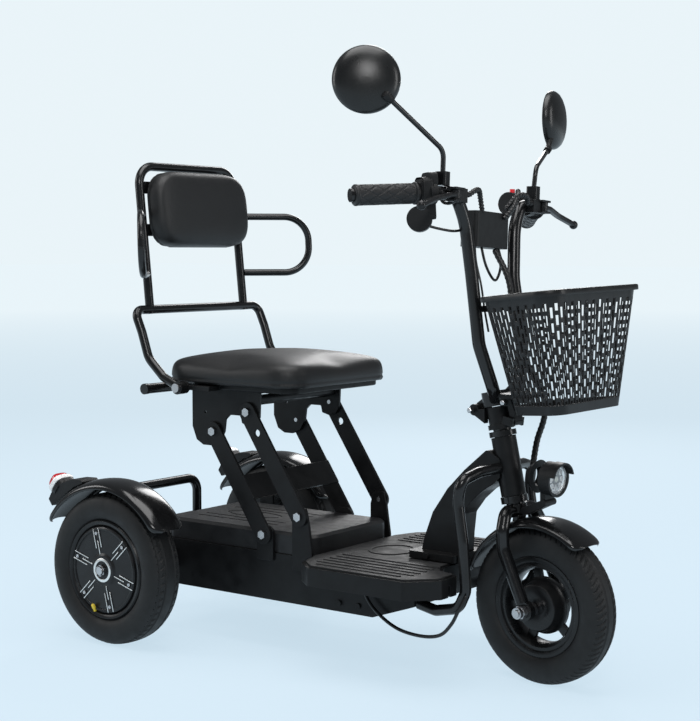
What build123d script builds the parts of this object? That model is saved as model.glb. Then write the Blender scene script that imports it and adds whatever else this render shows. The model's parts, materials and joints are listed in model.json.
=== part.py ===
from build123d import *
import math
import os

# Three-wheel folding mobility scooter, millimetres, +X forward, +Y to the rider's left, +Z up.
# Z = 0 is the ground. XR is the rear axle's X, so that the whole vehicle is centred on the origin.
XR = -359.0
REAR_R, REAR_W, REAR_RIM_R = 135.0, 68.0, 87.0
FRONT_R, FRONT_W, FRONT_RIM_R = 127.5, 56.0, 80.0
WHEELBASE, HALF_TRACK = 741.0, 232.0
STEER_REST = -6.26  # the fork stands a little to the right at rest
RAKE_TOP, RAKE_LOW = (647.9, 453.8), (689.2, 263.0)  # two points of the steering axis, X and Z
FOLD_X, FOLD_Z = 614.0, 437.0  # handlebar fold hinge
LATCH_X, LATCH_Z = 686.5, 421.4  # its latch lever's pin
LINK_Y, LINK_T = 119.8, 5.0
B1, B2 = (328.6, 244.2), (249.4, 205.3)  # lower pivots of the front and rear links
T1, T2 = (214.3, 416.6), (135.1, 377.7)  # upper pivots
BACK_X, BACK_Z, BACK_Y = 101.0, 457.0, 170.0  # backrest hinge
BOX_HALF, BOX_LOW, BOX_SEAM, COVER_TOP = 112.0, 90.0, 174.0, 212.0
DECK_TOP, DECK_HALF = 178.5, 195.0
SEAT_X0, SEAT_X1, SEAT_HALF, SEAT_LOW, SEAT_TOP = 26.0, 344.0, 158.0, 463.0, 516.0
BAR_R, GRIP_R, GRIP_L, SWEEP = 10.5, 16.0, 131.0, 32.0
ROLL, YAW = -4.3, 5.0  # how the handlebar sits on the stem

os.makedirs("parts", exist_ok=True)


# ---------------------------------------------------------------- frames
def W(x, y, z):
    return Vector(x + XR, y, z)


D = Vector(RAKE_TOP[0] - RAKE_LOW[0], 0, RAKE_TOP[1] - RAKE_LOW[1]).normalized()
P0 = Vector(RAKE_LOW[0] + XR, 0, RAKE_LOW[1])


def spin(p, c, axis, deg):
    a = math.radians(deg)
    v = p - c
    return c + v * math.cos(a) + axis.cross(v) * math.sin(a) + axis * (axis.dot(v) * (1 - math.cos(a)))


def S(x, y, z):
    """Fork frame: straight ahead, then turned to its rest angle."""
    return spin(W(x, y, z), P0, D, STEER_REST)


HC = W(640, 0, 650)


def H(x, y, z):
    """Handlebar frame: rolled and turned a little on the stem."""
    p = spin(W(x, y, z), HC, Vector(1, 0, 0), ROLL)
    p = spin(p, HC, Vector(0, 0, 1), YAW)
    return spin(p, P0, D, STEER_REST)


BASK_O, BASK_T = (727.0, 440.0), math.radians(5.6)


def B(x, y, z):
    """Basket frame: tipped up at the front."""
    c, s = math.cos(BASK_T), math.sin(BASK_T)
    return S(BASK_O[0] + x * c - z * s, y, BASK_O[1] + x * s + z * c)


def pl(M, o, z, x=None):
    """A plane in frame M at point o, with its normal along z and its x along x."""
    p = M(*o)
    zd = M(o[0] + z[0], o[1] + z[1], o[2] + z[2]) - p
    if x is None:
        return Plane(origin=p, z_dir=zd)
    return Plane(origin=p, x_dir=M(o[0] + x[0], o[1] + x[1], o[2] + x[2]) - p, z_dir=zd)


def axis_at(z):
    """X of the steering axis at height z."""
    return RAKE_LOW[0] + (z - RAKE_LOW[1]) * (RAKE_TOP[0] - RAKE_LOW[0]) / (RAKE_TOP[1] - RAKE_LOW[1])


def route(pts, radii):
    with BuildLine() as ln:
        if len(pts) == 2:
            Line(*pts)
        else:
            FilletPolyline(*pts, radius=radii)
    return ln.line


def disc(plane, r, ri=0.0):
    with BuildSketch(plane) as sk:
        Circle(r)
        if ri:
            Circle(ri, mode=Mode.SUBTRACT)
    return sk.sketch


def section(path, r, ri=0.0):
    return disc(Plane(origin=path @ 0, z_dir=path % 0), r, ri)


def poly(plane, pts, radii=0.0):
    with BuildSketch(plane) as sk:
        with BuildLine():
            Polyline(*pts, close=True)
        make_face()
        if radii:
            fillet(sk.vertices(), radii)
    return sk.sketch


def rrect(plane, w, h, r):
    with BuildSketch(plane) as sk:
        RectangleRounded(w, h, r)
    return sk.sketch


XZ = Plane(origin=(XR, 0, 0), x_dir=(1, 0, 0), z_dir=(0, -1, 0))  # local x = X, local y = Z
F, SUB = (0, 0, 1), Mode.SUBTRACT


def xz(y):
    """Side-view plane at height y of the Y axis; local x is X from the rear axle, local y is Z; extrudes towards -Y."""
    return Plane(origin=(XR, y, 0), x_dir=(1, 0, 0), z_dir=(0, -1, 0))


def xy(z):
    return Plane(origin=(XR, 0, z))


# ---------------------------------------------------------------- chassis
with BuildPart() as chassis_box:
    extrude(poly(xz(BOX_HALF), [(8, BOX_LOW), (478, BOX_LOW), (548, 114), (562, 119), (562, 147), (355, 147), (355, 173.5), (8, 173.5)]), amount=2 * BOX_HALF)
    extrude(poly(xz(BOX_HALF - 3), [(11, BOX_LOW + 3), (477, BOX_LOW + 3), (547, 117), (559, 121), (559, 144), (352, 144), (352, 180), (11, 180)]), amount=2 * BOX_HALF - 6, mode=SUB)
    # passage for the axle beam, and the two bottom bolts
    with BuildSketch(pl(W, (0, -200, 135), (0, 1, 0), (1, 0, 0))):
        Rectangle(45, 37)
    extrude(amount=400, mode=SUB)
    for s in (-1, 1):
        for bx in (409, 449):
            extrude(disc(pl(W, (bx, s * BOX_HALF, 105), (0, s, 0)), 5), amount=3)
chassis_box.part.label = "chassis_box"

with BuildPart() as battery_cover:
    with BuildSketch(xy(BOX_SEAM)) as outer:
        with Locations((181, 0)):
            RectangleRounded(346, 2 * BOX_HALF - 6, 20)
    extrude(amount=COVER_TOP - BOX_SEAM)
    top_edges = battery_cover.edges().group_by(Axis.Z)[-1]
    chamfer(top_edges, 5)
    with BuildSketch(xy(BOX_SEAM)) as inner:
        with Locations((181, 0)):
            RectangleRounded(340, 2 * BOX_HALF - 12, 17)
    extrude(amount=COVER_TOP - BOX_SEAM - 4, mode=SUB)
    # long grooves and the oval recess of the lid
    with BuildSketch(xy(COVER_TOP)):
        with Locations((140, 62), (140, 40), (140, -62), (140, -40)):
            SlotOverall(190, 6)
    extrude(amount=-1.2, mode=SUB)
    with BuildSketch(xy(COVER_TOP)):
        with Locations((128, 0)):
            Ellipse(62, 26)
            Ellipse(56, 20, mode=SUB)
    extrude(amount=-1.2, mode=SUB)
battery_cover.part.label = "battery_cover"

with BuildPart() as battery_pack:
    with BuildSketch(xy(BOX_LOW + 4)):
        with Locations((170, 0)):
            RectangleRounded(280, 190, 8)
    extrude(amount=100)
battery_pack.part.label = "battery_pack"

with BuildPart() as motor_controller:
    with BuildSketch(xy(BOX_LOW + 4)):
        with Locations((400, 0)):
            Rectangle(110, 80)
    extrude(amount=40)
    with BuildSketch(xy(BOX_LOW + 44)):
        with GridLocations(0, 16, 1, 5):
            with Locations((400, 0)):
                Rectangle(104, 4)
    extrude(amount=6)
motor_controller.part.label = "motor_controller"

# deck: rounded rear corners, a notch in front for the wheel
deck_pts = [(357, -122), (372, -168), (405, -DECK_HALF), (596, -DECK_HALF), (639, -150), (639, -101), (604, -92), (586, -62), (586, 62), (604, 92), (639, 101), (639, 150), (596, DECK_HALF), (405, DECK_HALF), (372, 168), (357, 122)]
with BuildPart() as foot_deck:
    extrude(poly(xy(148), deck_pts), amount=DECK_TOP - 148)
    fillet(foot_deck.edges().filter_by(Axis.Z), 9)
    with BuildSketch(xy(148)):
        with Locations((497, 0)):
            Rectangle(166, 2 * DECK_HALF - 34)
    extrude(amount=DECK_TOP - 148 - 4, mode=SUB)
    with BuildSketch(xy(148)):
        with Locations((394, 0)):
            Rectangle(60, 2 * DECK_HALF - 100)
    extrude(amount=DECK_TOP - 148 - 4, mode=SUB)
    # drain slots in the front corners of the skirt
    for s in (-1, 1):
        with BuildSketch(pl(W, (640, s * 126, 156), (1, 0, 0))):
            SlotOverall(22, 7)
        extrude(amount=-14, mode=SUB)
foot_deck.part.label = "foot_deck"

with BuildPart() as foot_mat:
    mat_pts = [(362, -118), (378, -164), (408, -189), (593, -189), (633, -148), (633, -105), (601, -97), (608 - 26, -66), (582, 66), (601, 97), (633, 105), (633, 148), (593, 189), (408, 189), (378, 164), (362, 118)]
    extrude(poly(xy(DECK_TOP), mat_pts), amount=3)
    fillet(foot_mat.edges().filter_by(Axis.Z), 7)
    with BuildSketch(xy(DECK_TOP + 3)):
        for yy in (82, 100, 118, 136, 154, 172):
            with Locations((492, yy), (492, -yy)):
                SlotOverall(170 if yy > 160 else 196, 7)
        with Locations((440, 0)):
            Ellipse(40, 46)
            Ellipse(34, 40, mode=SUB)
    extrude(amount=1.6)
foot_mat.part.label = "foot_mat"

NECK = [(643, 374), (600, 337), (567, 303), (538, 261), (521, 216), (514, 183.5), (590, 183.5), (592, 226), (596, 262), (614, 286), (634, 304), (655, 318), (668, 330), (668, 360)]
with BuildPart() as neck_beam:
    extrude(poly(xz(23), NECK), amount=46)
    fillet(neck_beam.edges().filter_by(Axis.Y), 6)
    with BuildSketch(xy(183.5)):
        with Locations((549, 0)):
            RectangleRounded(96, 88, 8)
    extrude(amount=12)
    with BuildSketch(pl(W, (540, -48, 190), (0, 1, 0))):
        Circle(5)
    extrude(amount=96)
    # saddle cut for the head tube, and a relief for the turning fender
    with BuildSketch(pl(W, (axis_at(280), 0, 280), (D.X, 0, D.Z))):
        Circle(20.5)
    extrude(amount=140, mode=SUB)
neck_beam.part.label = "neck_beam"

with BuildPart() as head_tube:
    with BuildSketch(pl(W, (axis_at(300), 0, 300), (D.X, 0, D.Z))):
        Circle(20.5)
        Circle(17, mode=SUB)
    extrude(amount=97)
head_tube.part.label = "head_tube"

with BuildPart() as head_bearings:
    for z0, t in ((288.5, 11), (395.6, 9)):
        with BuildSketch(pl(W, (axis_at(z0), 0, z0), (D.X, 0, D.Z))):
            Circle(22.5)
            Circle(15.06, mode=SUB)
        extrude(amount=t)
head_bearings.part.label = "head_bearings"

with BuildPart() as guard_bars:
    for s in (-1, 1):
        p = route([W(664, s * 19.5, 345), W(657, s * 70, 343), W(650, s * 111, 333), W(645, s * 112, 300), W(655, s * 112, 235), W(661, s * 112, 158), W(646, s * 110, 128), W(598, s * 103, 117), W(564.5, s * 101, 123)], [40, 18, 60, 60, 24, 26, 16])
        sweep(section(p, 9), path=p)
    with BuildSketch(pl(W, (axis_at(300), 0, 300), (D.X, 0, D.Z))):
        Circle(20.55)
    extrude(amount=97, mode=SUB)
    extrude(poly(xz(23.1), NECK), amount=46.2, mode=SUB)
guard_bars.part.label = "guard_bars"

with BuildPart() as rear_handle:
    p = route([W(-100, -92, 183), W(-100, -92, 250), W(-100, 92, 250), W(-100, 92, 183)], [26, 26])
    sweep(section(p, 9, 7.2), path=p)
rear_handle.part.label = "rear_handle"

with BuildPart() as rear_subframe:
    for s in (-1, 1):
        with BuildSketch(pl(W, (7.5, s * 92, 166), (-1, 0, 0))):
            Rectangle(24, 32)
        extrude(amount=120)
        # fender stay: a plate outside the beam, running up to the fender's inner edge
        extrude(poly(xz(s * 189 + 2), [(-22, 140), (22, 140), (14, 240), (-14, 240)]), amount=4)
    with BuildSketch(pl(W, (-100, -110, 166), (0, 1, 0))):
        Rectangle(30, 30)
    extrude(amount=220)
    with BuildSketch(pl(W, (0, -187, 135), (0, 1, 0), (1, 0, 0))):
        RectangleRounded(44, 36, 6)
    extrude(amount=374)
    for s in (-1, 1):
        with BuildSketch(pl(W, (0, s * 193, 135), (0, -s, 0))):
            Circle(7)
        extrude(amount=53, mode=SUB)
rear_subframe.part.label = "rear_subframe"

with BuildPart() as rear_axle:
    for s in (-1, 1):
        with BuildSketch(pl(W, (0, s * 142, 135), (0, s, 0))):
            Circle(7)
        extrude(amount=131)
        with BuildSketch(pl(W, (0, s * 191.2, 135), (0, s, 0))):
            Circle(14)
        extrude(amount=5)
        with BuildSketch(pl(W, (0, s * 265.4, 135), (0, s, 0))):
            RegularPolygon(10.5, 6)
        extrude(amount=5)
rear_axle.part.label = "rear_axle"

FC = (0.0, 127.0)  # centre of the fender arc


def arch(r_top, drop, half, t):
    """Section of a fender in a plane through the wheel's axis: local x along the axle, local y outwards from it."""
    out = [(-half, r_top - drop), (-half * 0.86, r_top - drop * 0.42), (-half * 0.5, r_top - drop * 0.1), (0, r_top), (half * 0.5, r_top - drop * 0.1), (half * 0.86, r_top - drop * 0.42), (half, r_top - drop)]
    inn = [(x * (half - t) / half, y - t * (1.0 if abs(x) < half * 0.9 else 0.0)) for x, y in reversed(out)]
    return out + inn


with BuildPart() as rear_fenders:
    for s in (-1, 1):
        ax = Axis(W(FC[0], 0, FC[1]), (0, 1, 0))
        # start at the front tail, 30 degrees above level, and turn back over the wheel
        a0 = math.radians(33)
        rp = Plane(origin=W(FC[0], s * 232, FC[1]), x_dir=(0, 1, 0), z_dir=(math.sin(a0), 0, -math.cos(a0)))
        sec = poly(rp, arch(168, 15, 39, 2.2))
        revolve(sec, axis=ax, revolution_arc=-117)
rear_fenders.part.label = "rear_fenders"

with BuildPart() as tail_light_housings:
    for s in (-1, 1):
        extrude(poly(xz(s * 232 + 20), [(-141, 234), (-150, 246), (-143, 258), (-118, 277), (-92, 287), (-66, 288), (-60, 283), (-84, 274), (-112, 255)], 2), amount=40)
        lp = Plane(origin=W(-134, s * 232, 271), x_dir=(0, 1, 0), z_dir=(-0.8, 0, 0.6))
        extrude(rrect(lp.offset(-9), 44, 36, 14), amount=8.5)
    # the fender runs through the foot of each housing
    revolve(poly(Plane(origin=W(FC[0], 232, FC[1]), x_dir=(0, 1, 0), z_dir=(1, 0, 0)), [(-45, 100), (45, 100), (45, 153), (33.5, 162), (19.5, 166.7), (0, 168.2), (-19.5, 166.7), (-33.5, 162), (-45, 153)]), axis=Axis(W(FC[0], 0, FC[1]), (0, 1, 0)), revolution_arc=360, mode=SUB)
    revolve(poly(Plane(origin=W(FC[0], -232, FC[1]), x_dir=(0, 1, 0), z_dir=(1, 0, 0)), [(-45, 100), (45, 100), (45, 153), (33.5, 162), (19.5, 166.7), (0, 168.2), (-19.5, 166.7), (-33.5, 162), (-45, 153)]), axis=Axis(W(FC[0], 0, FC[1]), (0, 1, 0)), revolution_arc=360, mode=SUB)
tail_light_housings.part.label = "tail_light_housings"

with BuildPart() as tail_light_lenses:
    for s in (-1, 1):
        lp = Plane(origin=W(-134, s * 232, 271), x_dir=(0, 1, 0), z_dir=(-0.8, 0, 0.6))
        loft([rrect(lp.offset(-0.4), 42, 34, 13), rrect(lp.offset(6), 34, 26, 10)])
tail_light_lenses.part.label = "tail_light_lenses"

# ---------------------------------------------------------------- seat linkage
with BuildPart() as seat_lugs:
    for s in (-1, 1):
        extrude(poly(xz(s * 114.6 + 2.5), [(311, 150), (354, 150), (354, 184), (346, 236), (340, 259), (318, 259), (311, 236)], 3), amount=5)
        extrude(poly(xz(s * 114.6 + 2.5), [(232, 160), (268, 160), (268, 214), (258, 222), (240, 222), (232, 214)], 3), amount=5)
    for px, pz in (B1, B2):
        extrude(disc(pl(W, (px, -130, pz), (0, 1, 0)), 4.0), amount=260, mode=SUB)
    with BuildSketch(xy(150)):
        with Locations((181, 0)):
            Rectangle(350, 2 * BOX_HALF + 0.2)
    extrude(amount=30, mode=SUB)
    with BuildSketch(xy(BOX_SEAM - 2)):
        with Locations((181, 0)):
            RectangleRounded(346.4, 2 * BOX_HALF - 5.6, 20)
    extrude(amount=45, mode=SUB)
seat_lugs.part.label = "seat_lugs"


with BuildPart() as lower_link_bolts:
    for s in (-1, 1):
        for px, pz in (B1, B2):
            extrude(disc(pl(W, (px, s * 112.2, pz), (0, s, 0)), 3.95), amount=14.3)
            with BuildSketch(pl(W, (px, s * 122.6, pz), (0, s, 0))):
                RegularPolygon(8, 6)
            extrude(amount=4.5)
lower_link_bolts.part.label = "lower_link_bolts"


def bar_outline(plane, a, b, half, holes):
    """Flat link: a stadium round its two pivots, with its holes."""
    length = math.dist(a, b)
    ang = math.degrees(math.atan2(b[1] - a[1], b[0] - a[0]))
    with BuildSketch(plane) as sk:
        with Locations(Location(((a[0] + b[0]) / 2, (a[1] + b[1]) / 2, 0), (0, 0, ang))):
            SlotCenterToCenter(length, 2 * half)
        for x, y, r in holes:
            with Locations((x, y)):
                Circle(r, mode=SUB)
    return sk.sketch


U = Vector(T1[0] - B1[0], 0, T1[1] - B1[1]).normalized()  # along a link, upwards
V = Vector(U.Z, 0, -U.X)  # square to it, forwards

with BuildPart() as front_links:
    hole = (T1[0] - U.X * 42, T1[1] - U.Z * 42, 6.5)
    for s in (-1, 1):
        y = s * LINK_Y
        extrude(bar_outline(xz(y + LINK_T / 2), B1, T1, 17, [(*B1, 4.0), (*T1, 4.0), hole]), amount=LINK_T)
front_links.part.label = "front_links"

with BuildPart() as rear_links:
    for s in (-1, 1):
        y = s * LINK_Y
        extrude(bar_outline(xz(y + LINK_T / 2), B2, T2, 17, [(*B2, 4.0), (*T2, 4.0)]), amount=LINK_T)
    # plate welded across the front edges of the two links
    c0, c1 = 62.0, 108.0
    quad = [(B2[0] + U.X * u + V.X * v, B2[1] + U.Z * u + V.Z * v) for u, v in ((c0, 14), (c1, 14), (c1, 18.5), (c0, 18.5))]
    extrude(poly(xz(LINK_Y + LINK_T / 2), quad), amount=2 * LINK_Y + LINK_T)
rear_links.part.label = "rear_links"

with BuildPart() as seat_brackets:
    outline = [(82, 453), (82, 384), (92, 360), (108, 351.5), (128, 351.5), (146, 360), (157, 378), (160, 400), (170, 409), (196, 409), (199, 396), (214, 392), (230, 396), (238, 408), (240, 453)]
    for s in (-1, 1):
        extrude(poly(xz(s * 114.6 + 2.5), outline, 3), amount=5)
        # flange under the seat pan
        with BuildSketch(xy(450)):
            with Locations((161, s * 104)):
                Rectangle(158, 20)
        extrude(amount=3)
    for px, pz in (T1, T2):
        extrude(disc(pl(W, (px, -130, pz), (0, 1, 0)), 4.0), amount=260, mode=SUB)
    for s in (-1, 1):
        with BuildSketch(xz(s * 114.6 + 6)):
            SlotArc(CenterArc((135, 378), 27, 160, 55), 5)
            with Locations((113, 411)):
                Circle(2.5)
        extrude(amount=12, mode=SUB)
    # tube and strip across the pair
    extrude(disc(pl(W, (222, -113, 438), (0, 1, 0)), 8), amount=226)
    with BuildSketch(pl(W, (196, -113, 428), (0, 1, 0), (1, 0, 0))):
        Rectangle(22, 5)
    extrude(amount=226)
seat_brackets.part.label = "seat_brackets"

with BuildPart() as seat_base_plate:
    with BuildSketch(xy(453)):
        with Locations((185, 0)):
            RectangleRounded(272, 262, 24)
    extrude(amount=9)
    fillet(seat_base_plate.edges().group_by(Axis.Z)[0], 3)
    # ears that carry the backrest hinge
    for s in (-1, 1):
        with BuildSketch(xz(s * 158.5 + 2.5)):
            with Locations((BACK_X, BACK_Z)):
                Circle(11)
            with Locations((BACK_X + 30, BACK_Z)):
                Rectangle(60, 8)
        extrude(amount=5)
        with BuildSketch(xy(453)):
            with Locations((BACK_X + 34, s * 143)):
                Rectangle(50, 30)
        extrude(amount=8)
        extrude(disc(pl(W, (BACK_X, s * 150, BACK_Z), (0, s, 0)), 4.0), amount=16, mode=SUB)
seat_base_plate.part.label = "seat_base_plate"

with BuildPart() as seat_cushion:
    with BuildSketch(xy(SEAT_LOW + 6)):
        with Locations(((SEAT_X0 + SEAT_X1) / 2, 0)):
            RectangleRounded(SEAT_X1 - SEAT_X0, 2 * SEAT_HALF, 52)
    extrude(amount=SEAT_TOP - SEAT_LOW - 6)
    fillet(seat_cushion.edges().group_by(Axis.Z)[-1], 16)
    with BuildSketch(xy(SEAT_LOW)):
        with Locations(((SEAT_X0 + SEAT_X1) / 2, 0)):
            RectangleRounded(SEAT_X1 - SEAT_X0 - 24, 2 * SEAT_HALF - 24, 42)
    extrude(amount=6)
seat_cushion.part.label = "seat_cushion"

with BuildPart() as seat_rear_tube:
    extrude(disc(pl(W, (35, -184, 452.6), (0, 1, 0)), 9, 7), amount=368)
    for s in (-1, 1):
        extrude(disc(pl(W, (35, s * 184, 452.6), (0, s, 0)), 9.6), amount=8)
        # arm from the tube to the seat pan
        with BuildSketch(pl(W, (42.5, s * 70, 450.2), (1, 0, 0), (0, 1, 0))):
            Rectangle(30, 5)
        extrude(amount=60)
seat_rear_tube.part.label = "seat_rear_tube"

with BuildPart() as seat_bolts:
    for s in (-1, 1):
        for px, pz in (T1, T2):
            extrude(disc(pl(W, (px, s * 112.2, pz), (0, s, 0)), 3.95), amount=14.3)
            with BuildSketch(pl(W, (px, s * 122.6, pz), (0, s, 0))):
                RegularPolygon(8, 6)
            extrude(amount=4.5)
        extrude(disc(pl(W, (BACK_X, s * 154, BACK_Z), (0, s, 0)), 3.95), amount=26)
        extrude(disc(pl(W, (BACK_X, s * 178.4, BACK_Z), (0, s, 0)), 8), amount=4.4)
seat_bolts.part.label = "seat_bolts"

# ---------------------------------------------------------------- backrest


def back_x(z):
    """X of the upright's centre line at height z: it leans back 6 degrees."""
    return -18 - 0.106 * (z - 676)


with BuildPart() as backrest_lower_hoop:
    y = BACK_Y
    p = route([W(101, -y, 457), W(62, -y, 474), W(26, -y, 506), W(10, -y, 552), W(-8, -y, 591), W(-8, y, 591), W(10, y, 552), W(26, y, 506), W(62, y, 474), W(101, y, 457)], [30, 38, 40, 18, 18, 40, 38, 30])
    sweep(section(p, 8), path=p)
    for s in (-1, 1):
        extrude(disc(pl(W, (BACK_X, s * 162, BACK_Z), (0, s, 0)), 11.5), amount=16)
        extrude(disc(pl(W, (BACK_X, s * 158, BACK_Z), (0, s, 0)), 4.0), amount=24, mode=SUB)
backrest_lower_hoop.part.label = "backrest_lower_hoop"

with BuildPart() as backrest_upper_hoop:
    y = 129.5
    p = route([W(back_x(583), -y, 583), W(back_x(851), -y, 851), W(back_x(851), y, 851), W(back_x(583), y, 583)], [36, 36])
    sweep(section(p, 8), path=p)
    q = route([W(-8, -150, 591), W(-8, 150, 591)], [])
    sweep(section(q, 8.02), path=q, mode=SUB)
    # strips that carry the pad
    for z in (735, 812):
        with BuildSketch(pl(W, (back_x(z) + 4, -125, z), (0, 1, 0), (1, 0, -0.0))):
            Rectangle(4, 22)
        extrude(amount=250)
backrest_upper_hoop.part.label = "backrest_upper_hoop"

PADN = Vector(math.cos(math.radians(6.05)), 0, math.sin(math.radians(6.05)))
with BuildPart() as backrest_cushion:
    bp = Plane(origin=W(back_x(771) + 8.9, 0, 771), x_dir=(0, 1, 0), z_dir=PADN)
    extrude(rrect(bp, 260, 148, 40), amount=44)
    front_face = backrest_cushion.faces().sort_by(Axis(W(0, 0, 771), PADN))[-1]
    fillet(front_face.edges(), 17)
backrest_cushion.part.label = "backrest_cushion"

with BuildPart() as armrests:
    for s in (-1, 1):
        za, zb = 763.5, 655.0
        xa, xb = back_x(za), back_x(zb)
        p = route([W(xa + 5.6, s * 135.2, za), W(70, s * 232, za), W(74, s * 234, zb), W(xb + 5.6, s * 135.2, zb)], [48, 48])
        sweep(section(p, 6.5), path=p)
    q = route([W(back_x(600), -129.5, 600), W(back_x(812), -129.5, 812)], [])
    sweep(section(q, 8.02), path=q, mode=SUB)
    q = route([W(back_x(600), 129.5, 600), W(back_x(812), 129.5, 812)], [])
    sweep(section(q, 8.02), path=q, mode=SUB)
armrests.part.label = "armrests"

# ---------------------------------------------------------------- wheels


def wheel_plane(M, x, y, z):
    """Sketch plane through a wheel's axle: local x along the axle (+Y), local y up."""
    return pl(M, (x, y, z), (1, 0, 0), (0, 1, 0))


def tyre_profile(plane, r_out, r_in, w):
    h = w / 2
    mid = r_in + (r_out - r_in) * 0.52
    with BuildSketch(plane) as sk:
        with BuildLine():
            Spline((-h * 0.62, r_in), (-h * 0.98, r_in + (mid - r_in) * 0.55), (-h, mid), (-h * 0.72, r_out - (r_out - mid) * 0.3), (0, r_out), (h * 0.72, r_out - (r_out - mid) * 0.3), (h, mid), (h * 0.98, r_in + (mid - r_in) * 0.55), (h * 0.62, r_in))
            Line((h * 0.62, r_in), (-h * 0.62, r_in))
        make_face()
    return sk.sketch


def wheel_axis(M, x, y, z):
    return Axis(M(x, y, z), M(x, y + 1, z) - M(x, y, z))


REAR = {}
for side, s in (("right", -1), ("left", 1)):
    yc = s * HALF_TRACK
    with BuildPart() as tyre:
        revolve(tyre_profile(wheel_plane(W, 0, yc, REAR_R), REAR_R, REAR_RIM_R, REAR_W), axis=wheel_axis(W, 0, yc, REAR_R), revolution_arc=360)
    tyre.part.label = side + "_rear_tyre"
    with BuildPart() as hub:
        # closed hub motor: rim, outer cover towards +s, inner cover towards the beam
        prof = [(-23, 87), (-21, 80), (-29, 76), (-30, 30), (-33, 26), (-33, 7.05), (22, 7.05), (22, 24), (18, 26), (18, 78), (21, 80), (23, 87)]
        prof = [(-s * a, b) if s > 0 else (a, b) for a, b in prof]
        revolve(poly(wheel_plane(W, 0, yc, REAR_R), [(a * (1 if s < 0 else 1), b) for a, b in prof]), axis=wheel_axis(W, 0, yc, REAR_R), revolution_arc=360)
        cav = [(-20, 72), (-20, 12), (12, 12), (12, 72)]
        cav = [(-s * a, b) if s > 0 else (a, b) for a, b in cav]
        revolve(poly(wheel_plane(W, 0, yc, REAR_R), cav), axis=wheel_axis(W, 0, yc, REAR_R), revolution_arc=360, mode=SUB)
    hub.part.label = side + "_rear_hub"
    REAR[side] = (tyre, hub)
right_rear_tyre, right_rear_hub = REAR["right"]
left_rear_tyre, left_rear_hub = REAR["left"]

FX, FZ = WHEELBASE, FRONT_R
with BuildPart() as front_tyre:
    revolve(tyre_profile(wheel_plane(S, FX, 0, FZ), FRONT_R, FRONT_RIM_R, FRONT_W), axis=wheel_axis(S, FX, 0, FZ), revolution_arc=360)
front_tyre.part.label = "front_tyre"

with BuildPart() as front_rim:
    prof = [(-19, 80), (-17, 74), (-19, 66), (-3.5, 62), (-3.5, 42), (-26, 38), (-26, 6.05), (24, 6.05), (24, 30), (22, 33), (3.5, 42), (3.5, 62), (19, 66), (17, 74), (19, 80)]
    revolve(poly(wheel_plane(S, FX, 0, FZ), prof), axis=wheel_axis(S, FX, 0, FZ), revolution_arc=360)
    # five arc slots through the web
    with BuildSketch(pl(S, (FX, -20, FZ), (0, 1, 0), (1, 0, 0))):
        with PolarLocations(0, 5, start_angle=78):
            SlotArc(CenterArc((0, 0), 52, -22, 44), 14)
    extrude(amount=40, mode=SUB)
    # brake drum opening on the left
    revolve(poly(wheel_plane(S, FX, 0, FZ), [(25, 6.05), (25, 27), (6, 27), (6, 10), (12, 10), (12, 6.05)]), axis=wheel_axis(S, FX, 0, FZ), revolution_arc=360, mode=SUB)
front_rim.part.label = "front_rim"

# ---------------------------------------------------------------- fork and steering


def fork_leg(s):
    return route([S(686, s * 1, 275), S(692, s * 37, 279), S(697, s * 52, 252), S(698, s * 52, 222), S(735.6, s * 52, 139.5)], [18, 16, 30])


with BuildPart() as fork:
    with BuildSketch(pl(S, (axis_at(283), 0, 283), (D.X, 0, D.Z))):
        Circle(15)
    extrude(amount=152)
    for s in (-1, 1):
        p = fork_leg(s)
        sweep(section(p, 10.5), path=p)
        extrude(disc(pl(S, (FX, s * 46, FZ), (0, s, 0)), 16), amount=12)
    with BuildSketch(pl(S, (axis_at(272), 0, 272), (D.X, 0, D.Z))):
        Circle(19)
    extrude(amount=14)
    extrude(disc(pl(S, (FX, -70, FZ), (0, 1, 0)), 6.05), amount=140, mode=SUB)
fork.part.label = "fork"

with BuildPart() as front_axle:
    extrude(disc(pl(S, (FX, -78, FZ), (0, 1, 0)), 6.0), amount=156)
    for s in (-1, 1):
        with BuildSketch(pl(S, (FX, s * 58.1, FZ), (0, s, 0))):
            RegularPolygon(11, 6)
        extrude(amount=9)
        extrude(disc(pl(S, (FX, s * 67.1, FZ), (0, s, 0)), 9), amount=8)
        extrude(disc(pl(S, (FX, s * 45.9, FZ), (0, -s, 0)), 10), amount=15 if s < 0 else 9)
front_axle.part.label = "front_axle"

with BuildPart() as drum_brake_plate:
    revolve(poly(wheel_plane(S, FX, 0, FZ), [(24.4, 6.05), (24.4, 31.5), (29, 31.5), (31, 28), (35.5, 16), (35.5, 6.05)]), axis=wheel_axis(S, FX, 0, FZ), revolution_arc=360)
    # boss for the cam and the stop that holds the plate on the fork leg
    extrude(disc(pl(S, (FX - 2, 27, FZ + 23), (0, 1, 0)), 6), amount=9)
    extrude(disc(pl(S, (FX - 2, 37, FZ + 23), (0, -1, 0)), 3.0), amount=14, mode=SUB)
drum_brake_plate.part.label = "drum_brake_plate"

with BuildPart() as brake_arm:
    extrude(disc(pl(S, (FX - 2, 27.5, FZ + 23), (0, 1, 0)), 2.95), amount=11)
    with BuildSketch(pl(S, (FX - 2, 36.6, FZ + 23), (0, 1, 0), (1, 0, 0))):
        # local x forwards, local y down: the arm points back and up
        Circle(5.5)
        with Locations(Location((-17, -4, 0), (0, 0, 13.2))):
            SlotOverall(44, 8)
    extrude(amount=3.4)
brake_arm.part.label = "brake_arm"

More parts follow.
